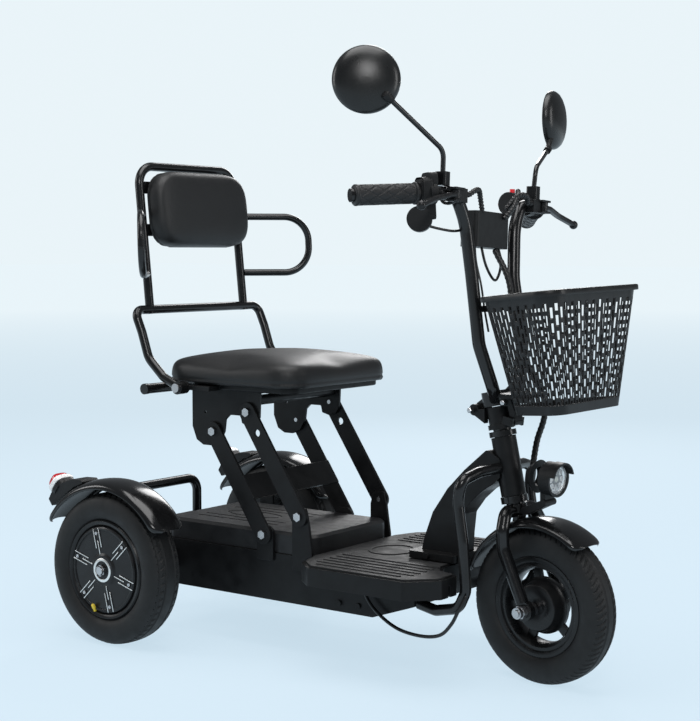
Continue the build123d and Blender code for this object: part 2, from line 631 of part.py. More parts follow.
with BuildPart() as front_fender:
    ax = wheel_axis(S, FX, 0, FZ)
    a0 = math.radians(50)
    o = S(FX, 0, FZ)
    xdir = S(FX, 1, FZ) - o
    zdir = S(FX + math.sin(a0), 0, FZ - math.cos(a0)) - o
    rp = Plane(origin=o, x_dir=xdir, z_dir=zdir)
    revolve(poly(rp, arch(143.5, 11.5, 38, 2.2)), axis=ax, revolution_arc=-112)
    # tab up to the crown
    with BuildSketch(pl(S, (688, 0, 258), (0.2, 0, 1), (1, 0, -0.2))):
        Rectangle(20, 22)
    extrude(amount=13.5)
    with BuildSketch(pl(S, (axis_at(272), 0, 272), (D.X, 0, D.Z))):
        Circle(19.05)
    extrude(amount=14, mode=SUB)
    for s in (-1, 1):
        p = fork_leg(s)
        sweep(section(p, 10.8), path=p, mode=SUB)
front_fender.part.label = "front_fender"

with BuildPart() as fold_lower_clamp:
    with BuildSketch(pl(S, (axis_at(407.6), 0, 407.6), (D.X, 0, D.Z))):
        Circle(22)
    extrude(amount=8)
    with BuildSketch(pl(S, (axis_at(415.4), 0, 415.4), (D.X, 0, D.Z))):
        Circle(19.5)
    extrude(amount=29)
    # two ears reach back to the fold hinge
    for s in (-1, 1):
        extrude(poly(pl(S, (0, s * 13.5 + 5, 0), (0, -1, 0), (1, 0, 0)), [(636, 416), (606, FOLD_Z - 4), (607, FOLD_Z), (614, FOLD_Z), (636, 440)]), amount=10)
        extrude(disc(pl(S, (FOLD_X, s * 8.5, FOLD_Z), (0, s, 0)), 9.5), amount=10)
    extrude(disc(pl(S, (FOLD_X, -22, FOLD_Z), (0, 1, 0)), 4.0), amount=44)
    with BuildSketch(pl(S, (axis_at(400), 0, 400), (D.X, 0, D.Z))):
        Circle(15)
    extrude(amount=41, mode=SUB)
    # lug for the latch in front
    for s in (-1, 1):
        with BuildSketch(pl(S, (670, s * 13, 424), (1, 0, -0.16), (0, 1, 0))):
            Rectangle(5, 14)
        extrude(amount=21)
    extrude(disc(pl(S, (LATCH_X, -16, LATCH_Z), (0, 1, 0)), 3.0), amount=32)
fold_lower_clamp.part.label = "fold_lower_clamp"

with BuildPart() as latch_lever:
    extrude(disc(pl(S, (LATCH_X, -10, LATCH_Z), (0, 1, 0)), 6.2), amount=20)
    extrude(poly(pl(S, (0, 10, 0), (0, -1, 0), (1, 0, 0)), [(682, 424), (692.5, 423), (690, 440), (684, 457), (675.5, 457), (676, 448), (680, 436)], 1.5), amount=20)
    extrude(disc(pl(S, (LATCH_X, -12, LATCH_Z), (0, 1, 0)), 3.05), amount=24, mode=SUB)
latch_lever.part.label = "latch_lever"

with BuildPart() as headlight:
    hp = pl(S, (716, 0, 337), (1, 0, -0.05), (0, 1, 0))
    with BuildSketch(hp) as h0:
        Circle(16)
    with BuildSketch(hp.offset(16)) as h1:
        Circle(27)
    loft([h0.sketch, h1.sketch])
    extrude(disc(hp.offset(16), 27), amount=34)
    extrude(disc(hp.offset(48), 28.5), amount=6)
    extrude(disc(hp.offset(46), 24), amount=12, mode=SUB)
    # peak over the lens
    extrude(disc(hp.offset(50), 28.5, 25.5), amount=14)
    with BuildSketch(hp.offset(54.1)):
        with Locations((0, -20)):
            Rectangle(80, 54)
    extrude(amount=16, mode=SUB)
    # cradle down to the fork crown
    extrude(poly(pl(S, (0, 12, 0), (0, -1, 0), (1, 0, 0)), [(700, 276), (712, 272), (752, 291), (752, 314), (742, 314), (742, 299), (706, 284)]), amount=24)
    extrude(disc(pl(S, (749, -15, 296), (0, 1, 0)), 6), amount=30)
    with BuildSketch(pl(S, (axis_at(268), 0, 268), (D.X, 0, D.Z))):
        Circle(19.05)
    extrude(amount=40, mode=SUB)
    for s in (-1, 1):
        p = fork_leg(s)
        sweep(section(p, 10.8), path=p, mode=SUB)
headlight.part.label = "headlight"

with BuildPart() as headlight_lens:
    hp = pl(S, (716, 0, 337), (1, 0, -0.05), (0, 1, 0))
    extrude(disc(hp.offset(46.2), 23.8), amount=6)
headlight_lens.part.label = "headlight_lens"

# ---------------------------------------------------------------- handlebar
SW = math.radians(SWEEP)
GX, GY, GZ, DROOP = 620.0, 157.0, 779.0, -0.085  # where a grip starts, and its slope


def G(s, d, lat=0.0, up=0.0):
    """Point on a grip's centre line, d from its inner end."""
    a = SW if s < 0 else SW + math.radians(5)
    return (GX - d * math.sin(a) + lat * math.cos(a), s * (GY + d * math.cos(a) + lat * math.sin(a)), GZ + d * DROOP + up)


def GDIR(s):
    a, b = G(s, 0), G(s, 1)
    return (b[0] - a[0], b[1] - a[1], b[2] - a[2])


def bar_pts(s):
    return [S(656, s * 14, 457), S(667, s * 37, 480), S(657, s * 58, 548), H(641, s * 63, 655), H(632.5, s * 74, 740), H(629.5, s * 96, 777), H(*G(s, -20)), H(*G(s, GRIP_L + 1))]


with BuildPart() as handlebar:
    for s in (-1, 1):
        p = route(bar_pts(s), [26, 60, 120, 90, 26, 34])
        sweep(section(p, BAR_R), path=p)
    # upper clamp: block on the fold plane, with the hinge knuckle behind
    with BuildSketch(pl(S, (axis_at(444.9), 0, 444.9), (D.X, 0, D.Z), (D.Z, 0, -D.X))):
        RectangleRounded(40, 44, 14)
    extrude(amount=24)
    extrude(poly(pl(S, (0, 8, 0), (0, -1, 0), (1, 0, 0)), [(608, FOLD_Z + 3), (614, FOLD_Z), (640, 443.5), (640, 466), (612, FOLD_Z + 10)]), amount=16)
    extrude(disc(pl(S, (FOLD_X, -8.1, FOLD_Z), (0, 1, 0)), 9.5), amount=16.2)
    extrude(disc(pl(S, (FOLD_X, -9, FOLD_Z), (0, 1, 0)), 4.05), amount=18, mode=SUB)
handlebar.part.label = "handlebar"


def grip_plane(s, d=0.0):
    return pl(H, G(s, d), GDIR(s), (0, 0, 1))


with BuildPart() as left_grip:
    extrude(disc(grip_plane(1, 6), GRIP_R, BAR_R + 0.05), amount=GRIP_L - 4.4)
    extrude(disc(grip_plane(1, 6), GRIP_R + 3, BAR_R + 0.05), amount=4)
    extrude(disc(grip_plane(1, GRIP_L + 1.6), GRIP_R), amount=5)
left_grip.part.label = "left_grip"

with BuildPart() as throttle_grip:
    extrude(disc(grip_plane(-1, 6), GRIP_R, BAR_R + 0.05), amount=GRIP_L - 4.4)
    extrude(disc(grip_plane(-1, 6), GRIP_R + 1.5, BAR_R + 0.05), amount=4)
    extrude(disc(grip_plane(-1, GRIP_L + 1.6), GRIP_R), amount=5)
throttle_grip.part.label = "throttle_grip"

with BuildPart() as handlebar_controls:
    # lever perches, with a forked front
    for s in (-1, 1):
        with BuildSketch(pl(H, (629, s * 117, 778), (0, s, 0), (1, 0, 0))):
            Circle(15)
            Circle(BAR_R + 0.02, mode=SUB)
        extrude(amount=6)
        with BuildSketch(pl(H, (629 + 15, s * 122, 778), (0, s, 0), (1, 0, 0))):
            Rectangle(18, 22)
        extrude(amount=-22)
        extrude(disc(pl(H, (648, s * 100.1, 781), (0, -s, 0)), 4.5), amount=10)
        with BuildSketch(pl(H, (651, s * 124, 785.5), (0, 0, 1), (1, 0, 0))):
            with Locations((0, 6 * s)):
                Rectangle(18, 26)
        extrude(amount=3.5)
        with BuildSketch(pl(H, (651, s * 124, 770.5), (0, 0, -1), (1, 0, 0))):
            with Locations((0, -6 * s)):
                Rectangle(18, 26)
        extrude(amount=3.5)
        extrude(disc(pl(H, (652, s * 132, 766), (0, 0, 1)), 3.0), amount=24)
    # throttle housing on top of the right grip's inner end, and the round pod under it
    with BuildSketch(pl(H, G(-1, -8), GDIR(-1), (0, 0, 1))):
        Circle(18)
        Circle(BAR_R + 0.4, mode=SUB)
    extrude(amount=12)
    with BuildSketch(pl(H, G(-1, -8, -5, 20), GDIR(-1), (0, 0, 1))):
        RectangleRounded(24, 36, 8)
    extrude(amount=13)
    with BuildSketch(pl(H, G(-1, -13, -13, -24), GDIR(-1), (0, 0, 1))):
        RectangleRounded(34, 20, 5)
    extrude(amount=17)
    with BuildSketch(pl(H, (603, -158, 738.5), (0.55, -0.83, 0))):
        Circle(20)
    extrude(amount=13, both=True)
    # switch pod behind the left bar, on its clamp ring
    with BuildSketch(pl(H, (629.5, 112, 777.5), (0, 1, 0), (1, 0, 0))):
        Circle(15)
        Circle(BAR_R + 0.4, mode=SUB)
    extrude(amount=16)
    with BuildSketch(pl(H, (598, 106, 783), (0, 1, 0), (1, 0, 0))):
        Circle(19.5)
    extrude(amount=27)
    with BuildSketch(pl(H, (615.5, 112, 779), (0, 1, 0), (1, 0, 0))):
        Rectangle(6, 16)
    extrude(amount=16)
    # wells for the two buttons
    extrude(disc(pl(H, (598, 119, 800.2), (0, 0, 1)), 5.2), amount=4, mode=SUB)
    extrude(disc(pl(H, (580.8, 119, 783), (-1, 0, 0)), 5.2), amount=4, mode=SUB)
    # control box between the risers
    with BuildSketch(pl(H, (622, 0, 702), (0, 0, 1), (1, 0, 0))):
        RectangleRounded(34, 98, 7)
    extrude(amount=58)
    for s in (-1, 1):
        p = route(bar_pts(s), [26, 60, 120, 90, 26, 34])
        sweep(section(p, BAR_R + 0.03), path=p, mode=SUB)
handlebar_controls.part.label = "handlebar_controls"


def lever(s):
    return route([H(652, s * 126, 778), H(653, s * 150, 776), H(649, s * 186, 767), H(656, s * 226, 755)], [22, 40])


LEVERS = {}
for side, s in (("right", -1), ("left", 1)):
    with BuildPart() as lev:
        p = lever(s)
        with BuildSketch(Plane(origin=p @ 0, x_dir=H(652, 0, 779) - H(652, 0, 778), z_dir=p % 0)):
            RectangleRounded(8, 12, 3)
        sweep(path=p)
        with BuildSketch(Plane(origin=H(656, s * 229, 754), x_dir=(1, 0, 0), z_dir=(0, 0, 1))):
            with BuildLine():
                Line((0, -7.5), (0, 7.5))
                ThreePointArc((0, 7.5), (7.5, 0), (0, -7.5))
            make_face()
        revolve(axis=Axis(H(656, s * 229, 754), (0, 1, 0)), revolution_arc=360)
        with BuildSketch(pl(H, (652, s * 132, 771), (0, 0, 1), (1, 0, 0))):
            Circle(8)
        extrude(amount=14)
        extrude(disc(pl(H, (652, s * 132, 760), (0, 0, 1)), 3.05), amount=40, mode=SUB)
    lev.part.label = side + "_brake_lever"
    LEVERS[side] = lev
right_brake_lever, left_brake_lever = LEVERS["right"], LEVERS["left"]

with BuildPart() as horn_button:
    extrude(disc(pl(H, (598, 119, 802.1), (0, 0, 1)), 4.5), amount=6.1)
horn_button.part.label = "horn_button"
with BuildPart() as light_button:
    extrude(disc(pl(H, (578.9, 119, 783), (-1, 0, 0)), 4.5), amount=6.1)
light_button.part.label = "light_button"

MIR = {
    "right": dict(s=-1, ball=(605, -256, 917), head=(569.7, -262, 944), n=(0.62, -0.78, 0.05)),
    "left": dict(s=1, ball=(588, 249, 890), head=(574, 290, 947), n=(0.93, 0.36, 0.03)),
}
with BuildPart() as mirror_stems:
    for m in MIR.values():
        s = m["s"]
        with BuildSketch(pl(H, (629, s * 136, 792), (0, 0, 1), (1, 0, 0))):
            RectangleRounded(20, 17, 4)
        extrude(amount=21.5)
        b = m["ball"]
        p = route([H(629, s * 136, 800), H(631, s * 139, 846), H(*b)], [22])
        sweep(section(p, 4), path=p)
mirror_stems.part.label = "mirror_stems"

HEADS = {}
for side, m in MIR.items():
    with BuildPart() as head:
        hx, hy, hz = m["head"]
        c = H(hx, hy, hz)
        n = (H(hx + m["n"][0], hy + m["n"][1], hz + m["n"][2]) - c).normalized()
        upv = Vector(0, 0, 1)
        e = (upv - n * upv.dot(n)).normalized()
        rp = Plane(origin=c, x_dir=e, z_dir=n.cross(e))  # local x radial, local y along -n or n
        sgn = 1.0 if rp.y_dir.dot(n) > 0 else -1.0
        with BuildSketch(rp):
            with BuildLine():
                Line((0, -7 * sgn), (49, -7 * sgn))
                Line((49, -7 * sgn), (52.5, -3 * sgn))
                Spline((52.5, -3 * sgn), (47, 8 * sgn), (30, 15.5 * sgn), (0, 18 * sgn))
                Line((0, 18 * sgn), (0, -7 * sgn))
            make_face()
        revolve(axis=Axis(c, n), revolution_arc=360)
        # collar on the stem's end, and the boss between it and the shell
        b = H(*m["ball"])
        sd = (b - H(631, m["s"] * 139, 846)).normalized()
        toward = n * -1.0 if (c - b).dot(n) < -10 else (c - b).normalized()
        with BuildSketch(Plane(origin=b - sd * 12, z_dir=sd)):
            Circle(6.5)
        extrude(amount=17)
        with BuildSketch(Plane(origin=b, z_dir=toward)):
            Circle(5)
        extrude(amount=12 if m["s"] < 0 else 30)
        with BuildSketch(Plane(origin=b - sd * 20, z_dir=sd)):
            Circle(4.05)
        extrude(amount=20.5, mode=SUB)
    head.part.label = side + "_mirror"
    HEADS[side] = head
right_mirror, left_mirror = HEADS["right"], HEADS["left"]

# ---------------------------------------------------------------- basket


def basket_sketch(z, x0, x1, w0, w1, r):
    return poly(pl(B, (0, 0, z), (0, 0, 1), (1, 0, 0)), [(x0, -w0), (x1, -w1), (x1, w1), (x0, w0)], r)


with BuildPart() as basket:
    loft([basket_sketch(0, 0, 109, 62, 93, 20), basket_sketch(190, -26, 138, 92, 130, 24)])
    extrude(basket_sketch(184, -30, 142, 96, 134, 27), amount=6)
    loft([basket_sketch(3, 3, 106, 59, 90, 17.5), basket_sketch(191, -23, 135, 89, 127, 21.5)], mode=SUB)
basket.part.label = "basket"

with BuildPart() as basket_bracket:
    with BuildSketch(pl(S, (669, 0, 465), (1, 0, 0), (0, 1, 0))):
        Rectangle(56, 6)
    extrude(amount=54)
    for s in (-1, 1):
        with BuildSketch(pl(S, (676, s * 25.5, 457), (1, 0, 0), (0, 1, 0))):
            Rectangle(5, 16)
        extrude(amount=16)
        extrude(disc(pl(S, (685, s * 28, 455), (0, s, 0)), 5), amount=5)
    with BuildSketch(pl(S, (658, 0, 606), (1, 0, 0), (0, 1, 0))):
        Rectangle(110, 10)
    extrude(amount=4)
    for s in (-1, 1):
        with BuildSketch(pl(S, (662, s * 40, 606), (1, 0, 0), (0, 1, 0))):
            Rectangle(16, 10)
        extrude(amount=20.5)
    for s in (-1, 1):
        p = route(bar_pts(s), [26, 60, 120, 90, 26, 34])
        sweep(section(p, BAR_R + 0.03), path=p, mode=SUB)
    loft([basket_sketch(0, 0, 109, 62, 93, 20), basket_sketch(190, -26, 138, 92, 130, 24)], mode=SUB)
    with BuildSketch(pl(S, (axis_at(444.9), 0, 444.9), (D.X, 0, D.Z), (D.Z, 0, -D.X))):
        RectangleRounded(40.1, 44.1, 14)
    extrude(amount=24.1, mode=SUB)
basket_bracket.part.label = "basket_bracket"

# ---------------------------------------------------------------- cables
CABLES = {
    "bar_right": (3.0, [H(648, -88.6, 781), H(647, -72, 787), H(641, -50, 786), H(634, -38, 766.5)], [20, 16]),
    "bar_left": (4.5, [H(648, 88.6, 781), H(650, 72, 789), H(646, 52, 787), H(638, 36, 767)], [20, 18]),
    "drop": (5.0, [H(633, 16, 699), S(663, 16, 640), S(673, 14, 575), S(680, 40, 505), S(699, 60, 460), S(700, 60, 424)], [60, 60, 50, 34]),
}
with BuildPart() as handlebar_cables:
    for r, pts, radii in CABLES.values():
        p = route(pts, radii)
        sweep(section(p, r), path=p)
handlebar_cables.part.label = "handlebar_cables"

FORK_CABLES = [
    (4.5, [S(698, 56, 418), S(695, 44, 388), S(700, 30, 360)], [40]),
    (2.5, [S(676, -66, 158), S(696, -70, 142), S(716, -72, 118), S(738, -66, 104)], [22, 22]),
]
with BuildPart() as fork_cables:
    for r, pts, radii in FORK_CABLES:
        p = route(pts, radii)
        sweep(section(p, r), path=p)
fork_cables.part.label = "fork_cables"

with BuildPart() as underdeck_cable:
    p = route([W(462, -122, 143), W(488, -124, 110), W(532, -124, 84), W(580, -124, 76), W(622, -126, 84), W(646, -130, 106), W(660, -131, 132), W(668.5, -123.6, 152)], [50, 70, 90, 70, 34, 28])
    sweep(section(p, 3.0), path=p)
underdeck_cable.part.label = "underdeck_cable"

# ---------------------------------------------------------------- write
PARTS = [chassis_box, battery_cover, battery_pack, motor_controller, foot_deck, foot_mat, neck_beam, head_tube, head_bearings, guard_bars, rear_handle, rear_subframe, rear_axle, rear_fenders, tail_light_housings, tail_light_lenses, seat_lugs, lower_link_bolts, underdeck_cable, front_links, rear_links, seat_brackets, seat_base_plate, seat_cushion, seat_rear_tube, seat_bolts, backrest_lower_hoop, backrest_upper_hoop, backrest_cushion, armrests, right_rear_tyre, right_rear_hub, left_rear_tyre, left_rear_hub, front_tyre, front_rim, fork, fold_lower_clamp, headlight, headlight_lens, front_fender, front_axle, drum_brake_plate, brake_arm, fork_cables, handlebar, latch_lever, basket, basket_bracket, left_grip, throttle_grip, handlebar_controls, right_brake_lever, left_brake_lever, mirror_stems, right_mirror, left_mirror, horn_button, light_button, handlebar_cables]
# the scooter is centred on its overall width, which the left mirror makes lopsided
CENTRE = Location((0, -33.7, 0))
for piece in PARTS:
    export_step(piece.part.moved(CENTRE), "parts/" + piece.part.label + ".step")
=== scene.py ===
import json
import math

import bmesh
import bpy
from mathutils import Matrix, Vector, noise

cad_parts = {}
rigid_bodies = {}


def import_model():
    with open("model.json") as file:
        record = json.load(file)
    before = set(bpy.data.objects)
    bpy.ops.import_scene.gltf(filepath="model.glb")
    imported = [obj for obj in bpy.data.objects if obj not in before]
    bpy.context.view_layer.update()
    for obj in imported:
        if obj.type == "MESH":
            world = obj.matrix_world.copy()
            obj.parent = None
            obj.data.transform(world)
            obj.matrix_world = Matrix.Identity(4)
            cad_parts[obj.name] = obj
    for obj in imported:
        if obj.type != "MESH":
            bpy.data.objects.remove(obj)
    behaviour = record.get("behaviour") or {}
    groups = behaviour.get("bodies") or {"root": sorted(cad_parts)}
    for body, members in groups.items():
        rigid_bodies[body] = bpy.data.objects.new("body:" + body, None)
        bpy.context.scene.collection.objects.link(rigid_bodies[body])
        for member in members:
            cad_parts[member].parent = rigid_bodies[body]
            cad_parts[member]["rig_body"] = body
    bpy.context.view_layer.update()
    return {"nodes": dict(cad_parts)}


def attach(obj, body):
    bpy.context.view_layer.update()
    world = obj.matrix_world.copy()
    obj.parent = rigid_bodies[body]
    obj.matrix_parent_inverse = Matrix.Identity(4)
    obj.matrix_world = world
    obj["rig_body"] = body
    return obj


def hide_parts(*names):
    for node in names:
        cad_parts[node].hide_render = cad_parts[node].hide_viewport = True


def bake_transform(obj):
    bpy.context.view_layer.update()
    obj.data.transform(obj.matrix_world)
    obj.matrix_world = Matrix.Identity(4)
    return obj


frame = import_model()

NODES = frame["nodes"]

# ---------------------------------------------------------------- frames, as in the part: millimetres in, metres out
XR = -359.0
SH = Vector((0, -33.7, 0))  # the scooter is centred on its overall width
D = Vector((647.9 - 689.2, 0, 453.8 - 263.0)).normalized()
P0 = Vector((689.2 + XR, 0, 263.0))


def turn(p, c, axis, deg):
    return c + Matrix.Rotation(math.radians(deg), 3, axis) @ (p - c)


def W(x, y, z):
    return (Vector((x + XR, y, z)) + SH) / 1000


def S(x, y, z):
    return (turn(Vector((x + XR, y, z)), P0, D, -6.26) + SH) / 1000


HC = Vector((640 + XR, 0, 650))


def H(x, y, z):
    p = turn(Vector((x + XR, y, z)), HC, Vector((1, 0, 0)), -4.3)
    p = turn(p, HC, Vector((0, 0, 1)), 5.0)
    return (turn(p, P0, D, -6.26) + SH) / 1000


def B(x, y, z):
    c, s = math.cos(math.radians(5.6)), math.sin(math.radians(5.6))
    return S(727 + x * c - z * s, y, 440 + x * s + z * c)


def G(s, d, lat=0.0, up=0.0):
    a = math.radians(32 if s < 0 else 37)
    return (620 - d * math.sin(a) + lat * math.cos(a), s * (157 + d * math.cos(a) + lat * math.sin(a)), 779 - 0.085 * d + up)


def vdir(M, o, v):
    return (M(o[0] + v[0], o[1] + v[1], o[2] + v[2]) - M(*o)).normalized()


def place(origin, x, z):
    """Matrix with local x along x and local z as near z as it can be."""
    x = x.normalized()
    y = z.cross(x).normalized()
    z = x.cross(y)
    m = Matrix((x, y, z)).transposed().to_4x4()
    m.translation = origin
    return m


# ---------------------------------------------------------------- materials
def new_mat(name):
    m = bpy.data.materials.new(name)
    m.use_nodes = True
    nt = m.node_tree
    bsdf = next(n for n in nt.nodes if n.type == "BSDF_PRINCIPLED")
    return m, nt, bsdf


def add(nt, kind, **inputs):
    n = nt.nodes.new(kind)
    for k, v in inputs.items():
        key = k.replace("_", " ")
        if key in n.inputs:
            n.inputs[key].default_value = v
    return n


def finish_mat(name, base, rough, metal=0.0, coat=0.0, coat_rough=0.08, tint=None, patch=14.0, rough_var=0.12,
               bump=(260.0, 0.05, 0.0004), bevel=0.0, spec=0.5, dust=0.0):
    """Surface with patchy colour and roughness, a fine bump and rounded edges."""
    m, nt, b = new_mat(name)
    L = nt.links.new
    tc = add(nt, "ShaderNodeTexCoord")
    n1 = add(nt, "ShaderNodeTexNoise", Scale=patch, Detail=5.0, Roughness=0.6)
    L(tc.outputs["Object"], n1.inputs["Vector"])
    mix = add(nt, "ShaderNodeMix")
    mix.data_type = "RGBA"
    mix.inputs["A"].default_value = (*base, 1)
    t = tint or [min(1, c * 1.5 + 0.004) for c in base]
    mix.inputs["B"].default_value = (*t, 1)
    L(n1.outputs["Fac"], mix.inputs["Factor"])
    out = mix.outputs["Result"]
    if dust:
        geo = add(nt, "ShaderNodeNewGeometry")
        sep = add(nt, "ShaderNodeSeparateXYZ")
        L(geo.outputs["Normal"], sep.inputs[0])
        n3 = add(nt, "ShaderNodeTexNoise", Scale=patch * 4, Detail=6.0, Roughness=0.7)
        L(tc.outputs["Object"], n3.inputs["Vector"])
        mul = add(nt, "ShaderNodeMath")
        mul.operation = "MULTIPLY"
        mr = add(nt, "ShaderNodeMapRange")
        mr.inputs["From Min"].default_value = 0.45
        mr.inputs["From Max"].default_value = 0.8
        L(n3.outputs["Fac"], mr.inputs["Value"])
        cl = add(nt, "ShaderNodeMath")
        cl.operation = "MAXIMUM"
        cl.inputs[1].default_value = 0.0
        L(sep.outputs["Z"], cl.inputs[0])
        L(cl.outputs[0], mul.inputs[0])
        L(mr.outputs["Result"], mul.inputs[1])
        sc = add(nt, "ShaderNodeMath")
        sc.operation = "MULTIPLY"
        sc.inputs[1].default_value = dust
        L(mul.outputs[0], sc.inputs[0])
        mix2 = add(nt, "ShaderNodeMix")
        mix2.data_type = "RGBA"
        mix2.inputs["B"].default_value = (0.22, 0.21, 0.2, 1)
        L(sc.outputs[0], mix2.inputs["Factor"])
        L(out, mix2.inputs["A"])
        out = mix2.outputs["Result"]
    L(out, b.inputs["Base Color"])
    n2 = add(nt, "ShaderNodeTexNoise", Scale=patch * 3.1, Detail=4.0, Roughness=0.55)
    L(tc.outputs["Object"], n2.inputs["Vector"])
    mr = add(nt, "ShaderNodeMapRange")
    mr.inputs["From Min"].default_value = 0.3
    mr.inputs["From Max"].default_value = 0.7
    mr.inputs["To Min"].default_value = max(0.02, rough - rough_var)
    mr.inputs["To Max"].default_value = min(1, rough + rough_var)
    L(n2.outputs["Fac"], mr.inputs["Value"])
    L(mr.outputs["Result"], b.inputs["Roughness"])
    fine = add(nt, "ShaderNodeTexNoise", Scale=bump[0], Detail=3.0, Roughness=0.5)
    L(tc.outputs["Object"], fine.inputs["Vector"])
    bp = add(nt, "ShaderNodeBump", Strength=bump[1], Distance=bump[2])
    L(fine.outputs["Fac"], bp.inputs["Height"])
    if bevel:
        bv = nt.nodes.new("ShaderNodeBevel")
        bv.samples = 4
        bv.inputs["Radius"].default_value = bevel
        L(bv.outputs["Normal"], bp.inputs["Normal"])
    L(bp.outputs["Normal"], b.inputs["Normal"])
    b.inputs["Metallic"].default_value = metal
    b.inputs["Coat Weight"].default_value = coat
    b.inputs["Coat Roughness"].default_value = coat_rough
    b.inputs["Specular IOR Level"].default_value = spec
    return m


def leather_mat(name, base, rough):
    m, nt, b = new_mat(name)
    L = nt.links.new
    tc = add(nt, "ShaderNodeTexCoord")
    vor = add(nt, "ShaderNodeTexVoronoi", Scale=780.0)
    warp = add(nt, "ShaderNodeTexNoise", Scale=90.0, Detail=3.0)
    L(tc.outputs["Object"], warp.inputs["Vector"])
    addv = add(nt, "ShaderNodeVectorMath")
    addv.operation = "MULTIPLY_ADD"
    addv.inputs[1].default_value = (0.004, 0.004, 0.004)
    L(warp.outputs["Color"], addv.inputs[0])
    L(tc.outputs["Object"], addv.inputs[2])
    L(addv.outputs[0], vor.inputs["Vector"])
    big = add(nt, "ShaderNodeTexNoise", Scale=38.0, Detail=4.0)
    L(tc.outputs["Object"], big.inputs["Vector"])
    b1 = add(nt, "ShaderNodeBump", Strength=0.28, Distance=0.0005)
    L(vor.outputs["Distance"], b1.inputs["Height"])
    b2 = add(nt, "ShaderNodeBump", Strength=0.12, Distance=0.002)
    L(big.outputs["Fac"], b2.inputs["Height"])
    L(b1.outputs["Normal"], b2.inputs["Normal"])
    L(b2.outputs["Normal"], b.inputs["Normal"])
    mix = add(nt, "ShaderNodeMix")
    mix.data_type = "RGBA"
    mix.inputs["A"].default_value = (*base, 1)
    mix.inputs["B"].default_value = (*[c * 1.45 for c in base], 1)
    L(big.outputs["Fac"], mix.inputs["Factor"])
    L(mix.outputs["Result"], b.inputs["Base Color"])
    mr = add(nt, "ShaderNodeMapRange")
    mr.inputs["To Min"].default_value = rough + 0.1
    mr.inputs["To Max"].default_value = rough - 0.06
    L(vor.outputs["Distance"], mr.inputs["Value"])
    L(mr.outputs["Result"], b.inputs["Roughness"])
    b.inputs["Specular IOR Level"].default_value = 0.35
    b.inputs["Coat Weight"].default_value = 0.05
    b.inputs["Coat Roughness"].default_value = 0.35
    return m


def glass_mat(name, base, rough=0.04, transmission=0.9, ior=1.49, scale=320.0):
    m, nt, b = new_mat(name)
    L = nt.links.new
    tc = add(nt, "ShaderNodeTexCoord")
    n = add(nt, "ShaderNodeTexNoise", Scale=scale, Detail=2.0)
    L(tc.outputs["Object"], n.inputs["Vector"])
    bp = add(nt, "ShaderNodeBump", Strength=0.15, Distance=0.0004)
    L(n.outputs["Fac"], bp.inputs["Height"])
    L(bp.outputs["Normal"], b.inputs["Normal"])
    mr = add(nt, "ShaderNodeMapRange")
    mr.inputs["To Min"].default_value = rough
    mr.inputs["To Max"].default_value = rough + 0.06
    L(n.outputs["Fac"], mr.inputs["Value"])
    L(mr.outputs["Result"], b.inputs["Roughness"])
    b.inputs["Base Color"].default_value = (*base, 1)
    b.inputs["Transmission Weight"].default_value = transmission
    b.inputs["IOR"].default_value = ior
    return m


def brushed_mat(name, base, rough=0.28, axis_scale=(60, 900, 60)):
    m, nt, b = new_mat(name)
    L = nt.links.new
    tc = add(nt, "ShaderNodeTexCoord")
    mp = add(nt, "ShaderNodeMapping")
    mp.inputs["Scale"].default_value = axis_scale
    L(tc.outputs["Object"], mp.inputs["Vector"])
    n = add(nt, "ShaderNodeTexNoise", Scale=1.0, Detail=4.0)
    L(mp.outputs["Vector"], n.inputs["Vector"])
    mr = add(nt, "ShaderNodeMapRange")
    mr.inputs["To Min"].default_value = rough - 0.1
    mr.inputs["To Max"].default_value = rough + 0.14
    L(n.outputs["Fac"], mr.inputs["Value"])
    L(mr.outputs["Result"], b.inputs["Roughness"])
    bp = add(nt, "ShaderNodeBump", Strength=0.08, Distance=0.0003)
    L(n.outputs["Fac"], bp.inputs["Height"])
    L(bp.outputs["Normal"], b.inputs["Normal"])
    b.inputs["Base Color"].default_value = (*base, 1)
    b.inputs["Metallic"].default_value = 1.0
    return m


PAINT = finish_mat("frame_paint", (0.0032, 0.0033, 0.0036), 0.40, coat=0.0, spec=0.22, bump=(520, 0.10, 0.0004), bevel=0.0012, dust=0.02)
TUBE = finish_mat("tube_gloss", (0.0028, 0.0029, 0.0032), 0.22, spec=0.42, rough_var=0.05, bump=(240, 0.03, 0.0005), bevel=0.0008)
GLOSS = finish_mat("gloss_black", (0.0028, 0.0029, 0.0032), 0.17, spec=0.45, rough_var=0.04, bump=(160, 0.02, 0.0005), bevel=0.001)
PLASTIC = finish_mat("cover_plastic", (0.0052, 0.0054, 0.0058), 0.48, spec=0.25, rough_var=0.1, bump=(900, 0.22, 0.0004), bevel=0.001, dust=0.02)
COVER = finish_mat("battery_cover_plastic", (0.009, 0.0093, 0.01), 0.42, spec=0.32, rough_var=0.12, bump=(700, 0.25, 0.0004), bevel=0.001, dust=0.05)
MAT = finish_mat("mat_rubber", (0.011, 0.0113, 0.012), 0.62, spec=0.32, rough_var=0.1, bump=(600, 0.4, 0.0005), bevel=0.0008, dust=0.08)
TYRE = finish_mat("tyre_rubber", (0.0078, 0.0080, 0.0082), 0.58, spec=0.3, rough_var=0.1, bump=(420, 0.3, 0.0004), dust=0.02)
GRIP = finish_mat("grip_rubber", (0.0085, 0.0087, 0.0092), 0.5, spec=0.35, rough_var=0.1, bump=(800, 0.3, 0.0003))
CABLE = finish_mat("cable_rubber", (0.004, 0.0041, 0.0045), 0.38, spec=0.4, rough_var=0.12, bump=(700, 0.2, 0.0003))
BASK = finish_mat("basket_plastic", (0.0055, 0.0057, 0.006), 0.36, spec=0.3, rough_var=0.1, bump=(500, 0.2, 0.0004), bevel=0.0006)
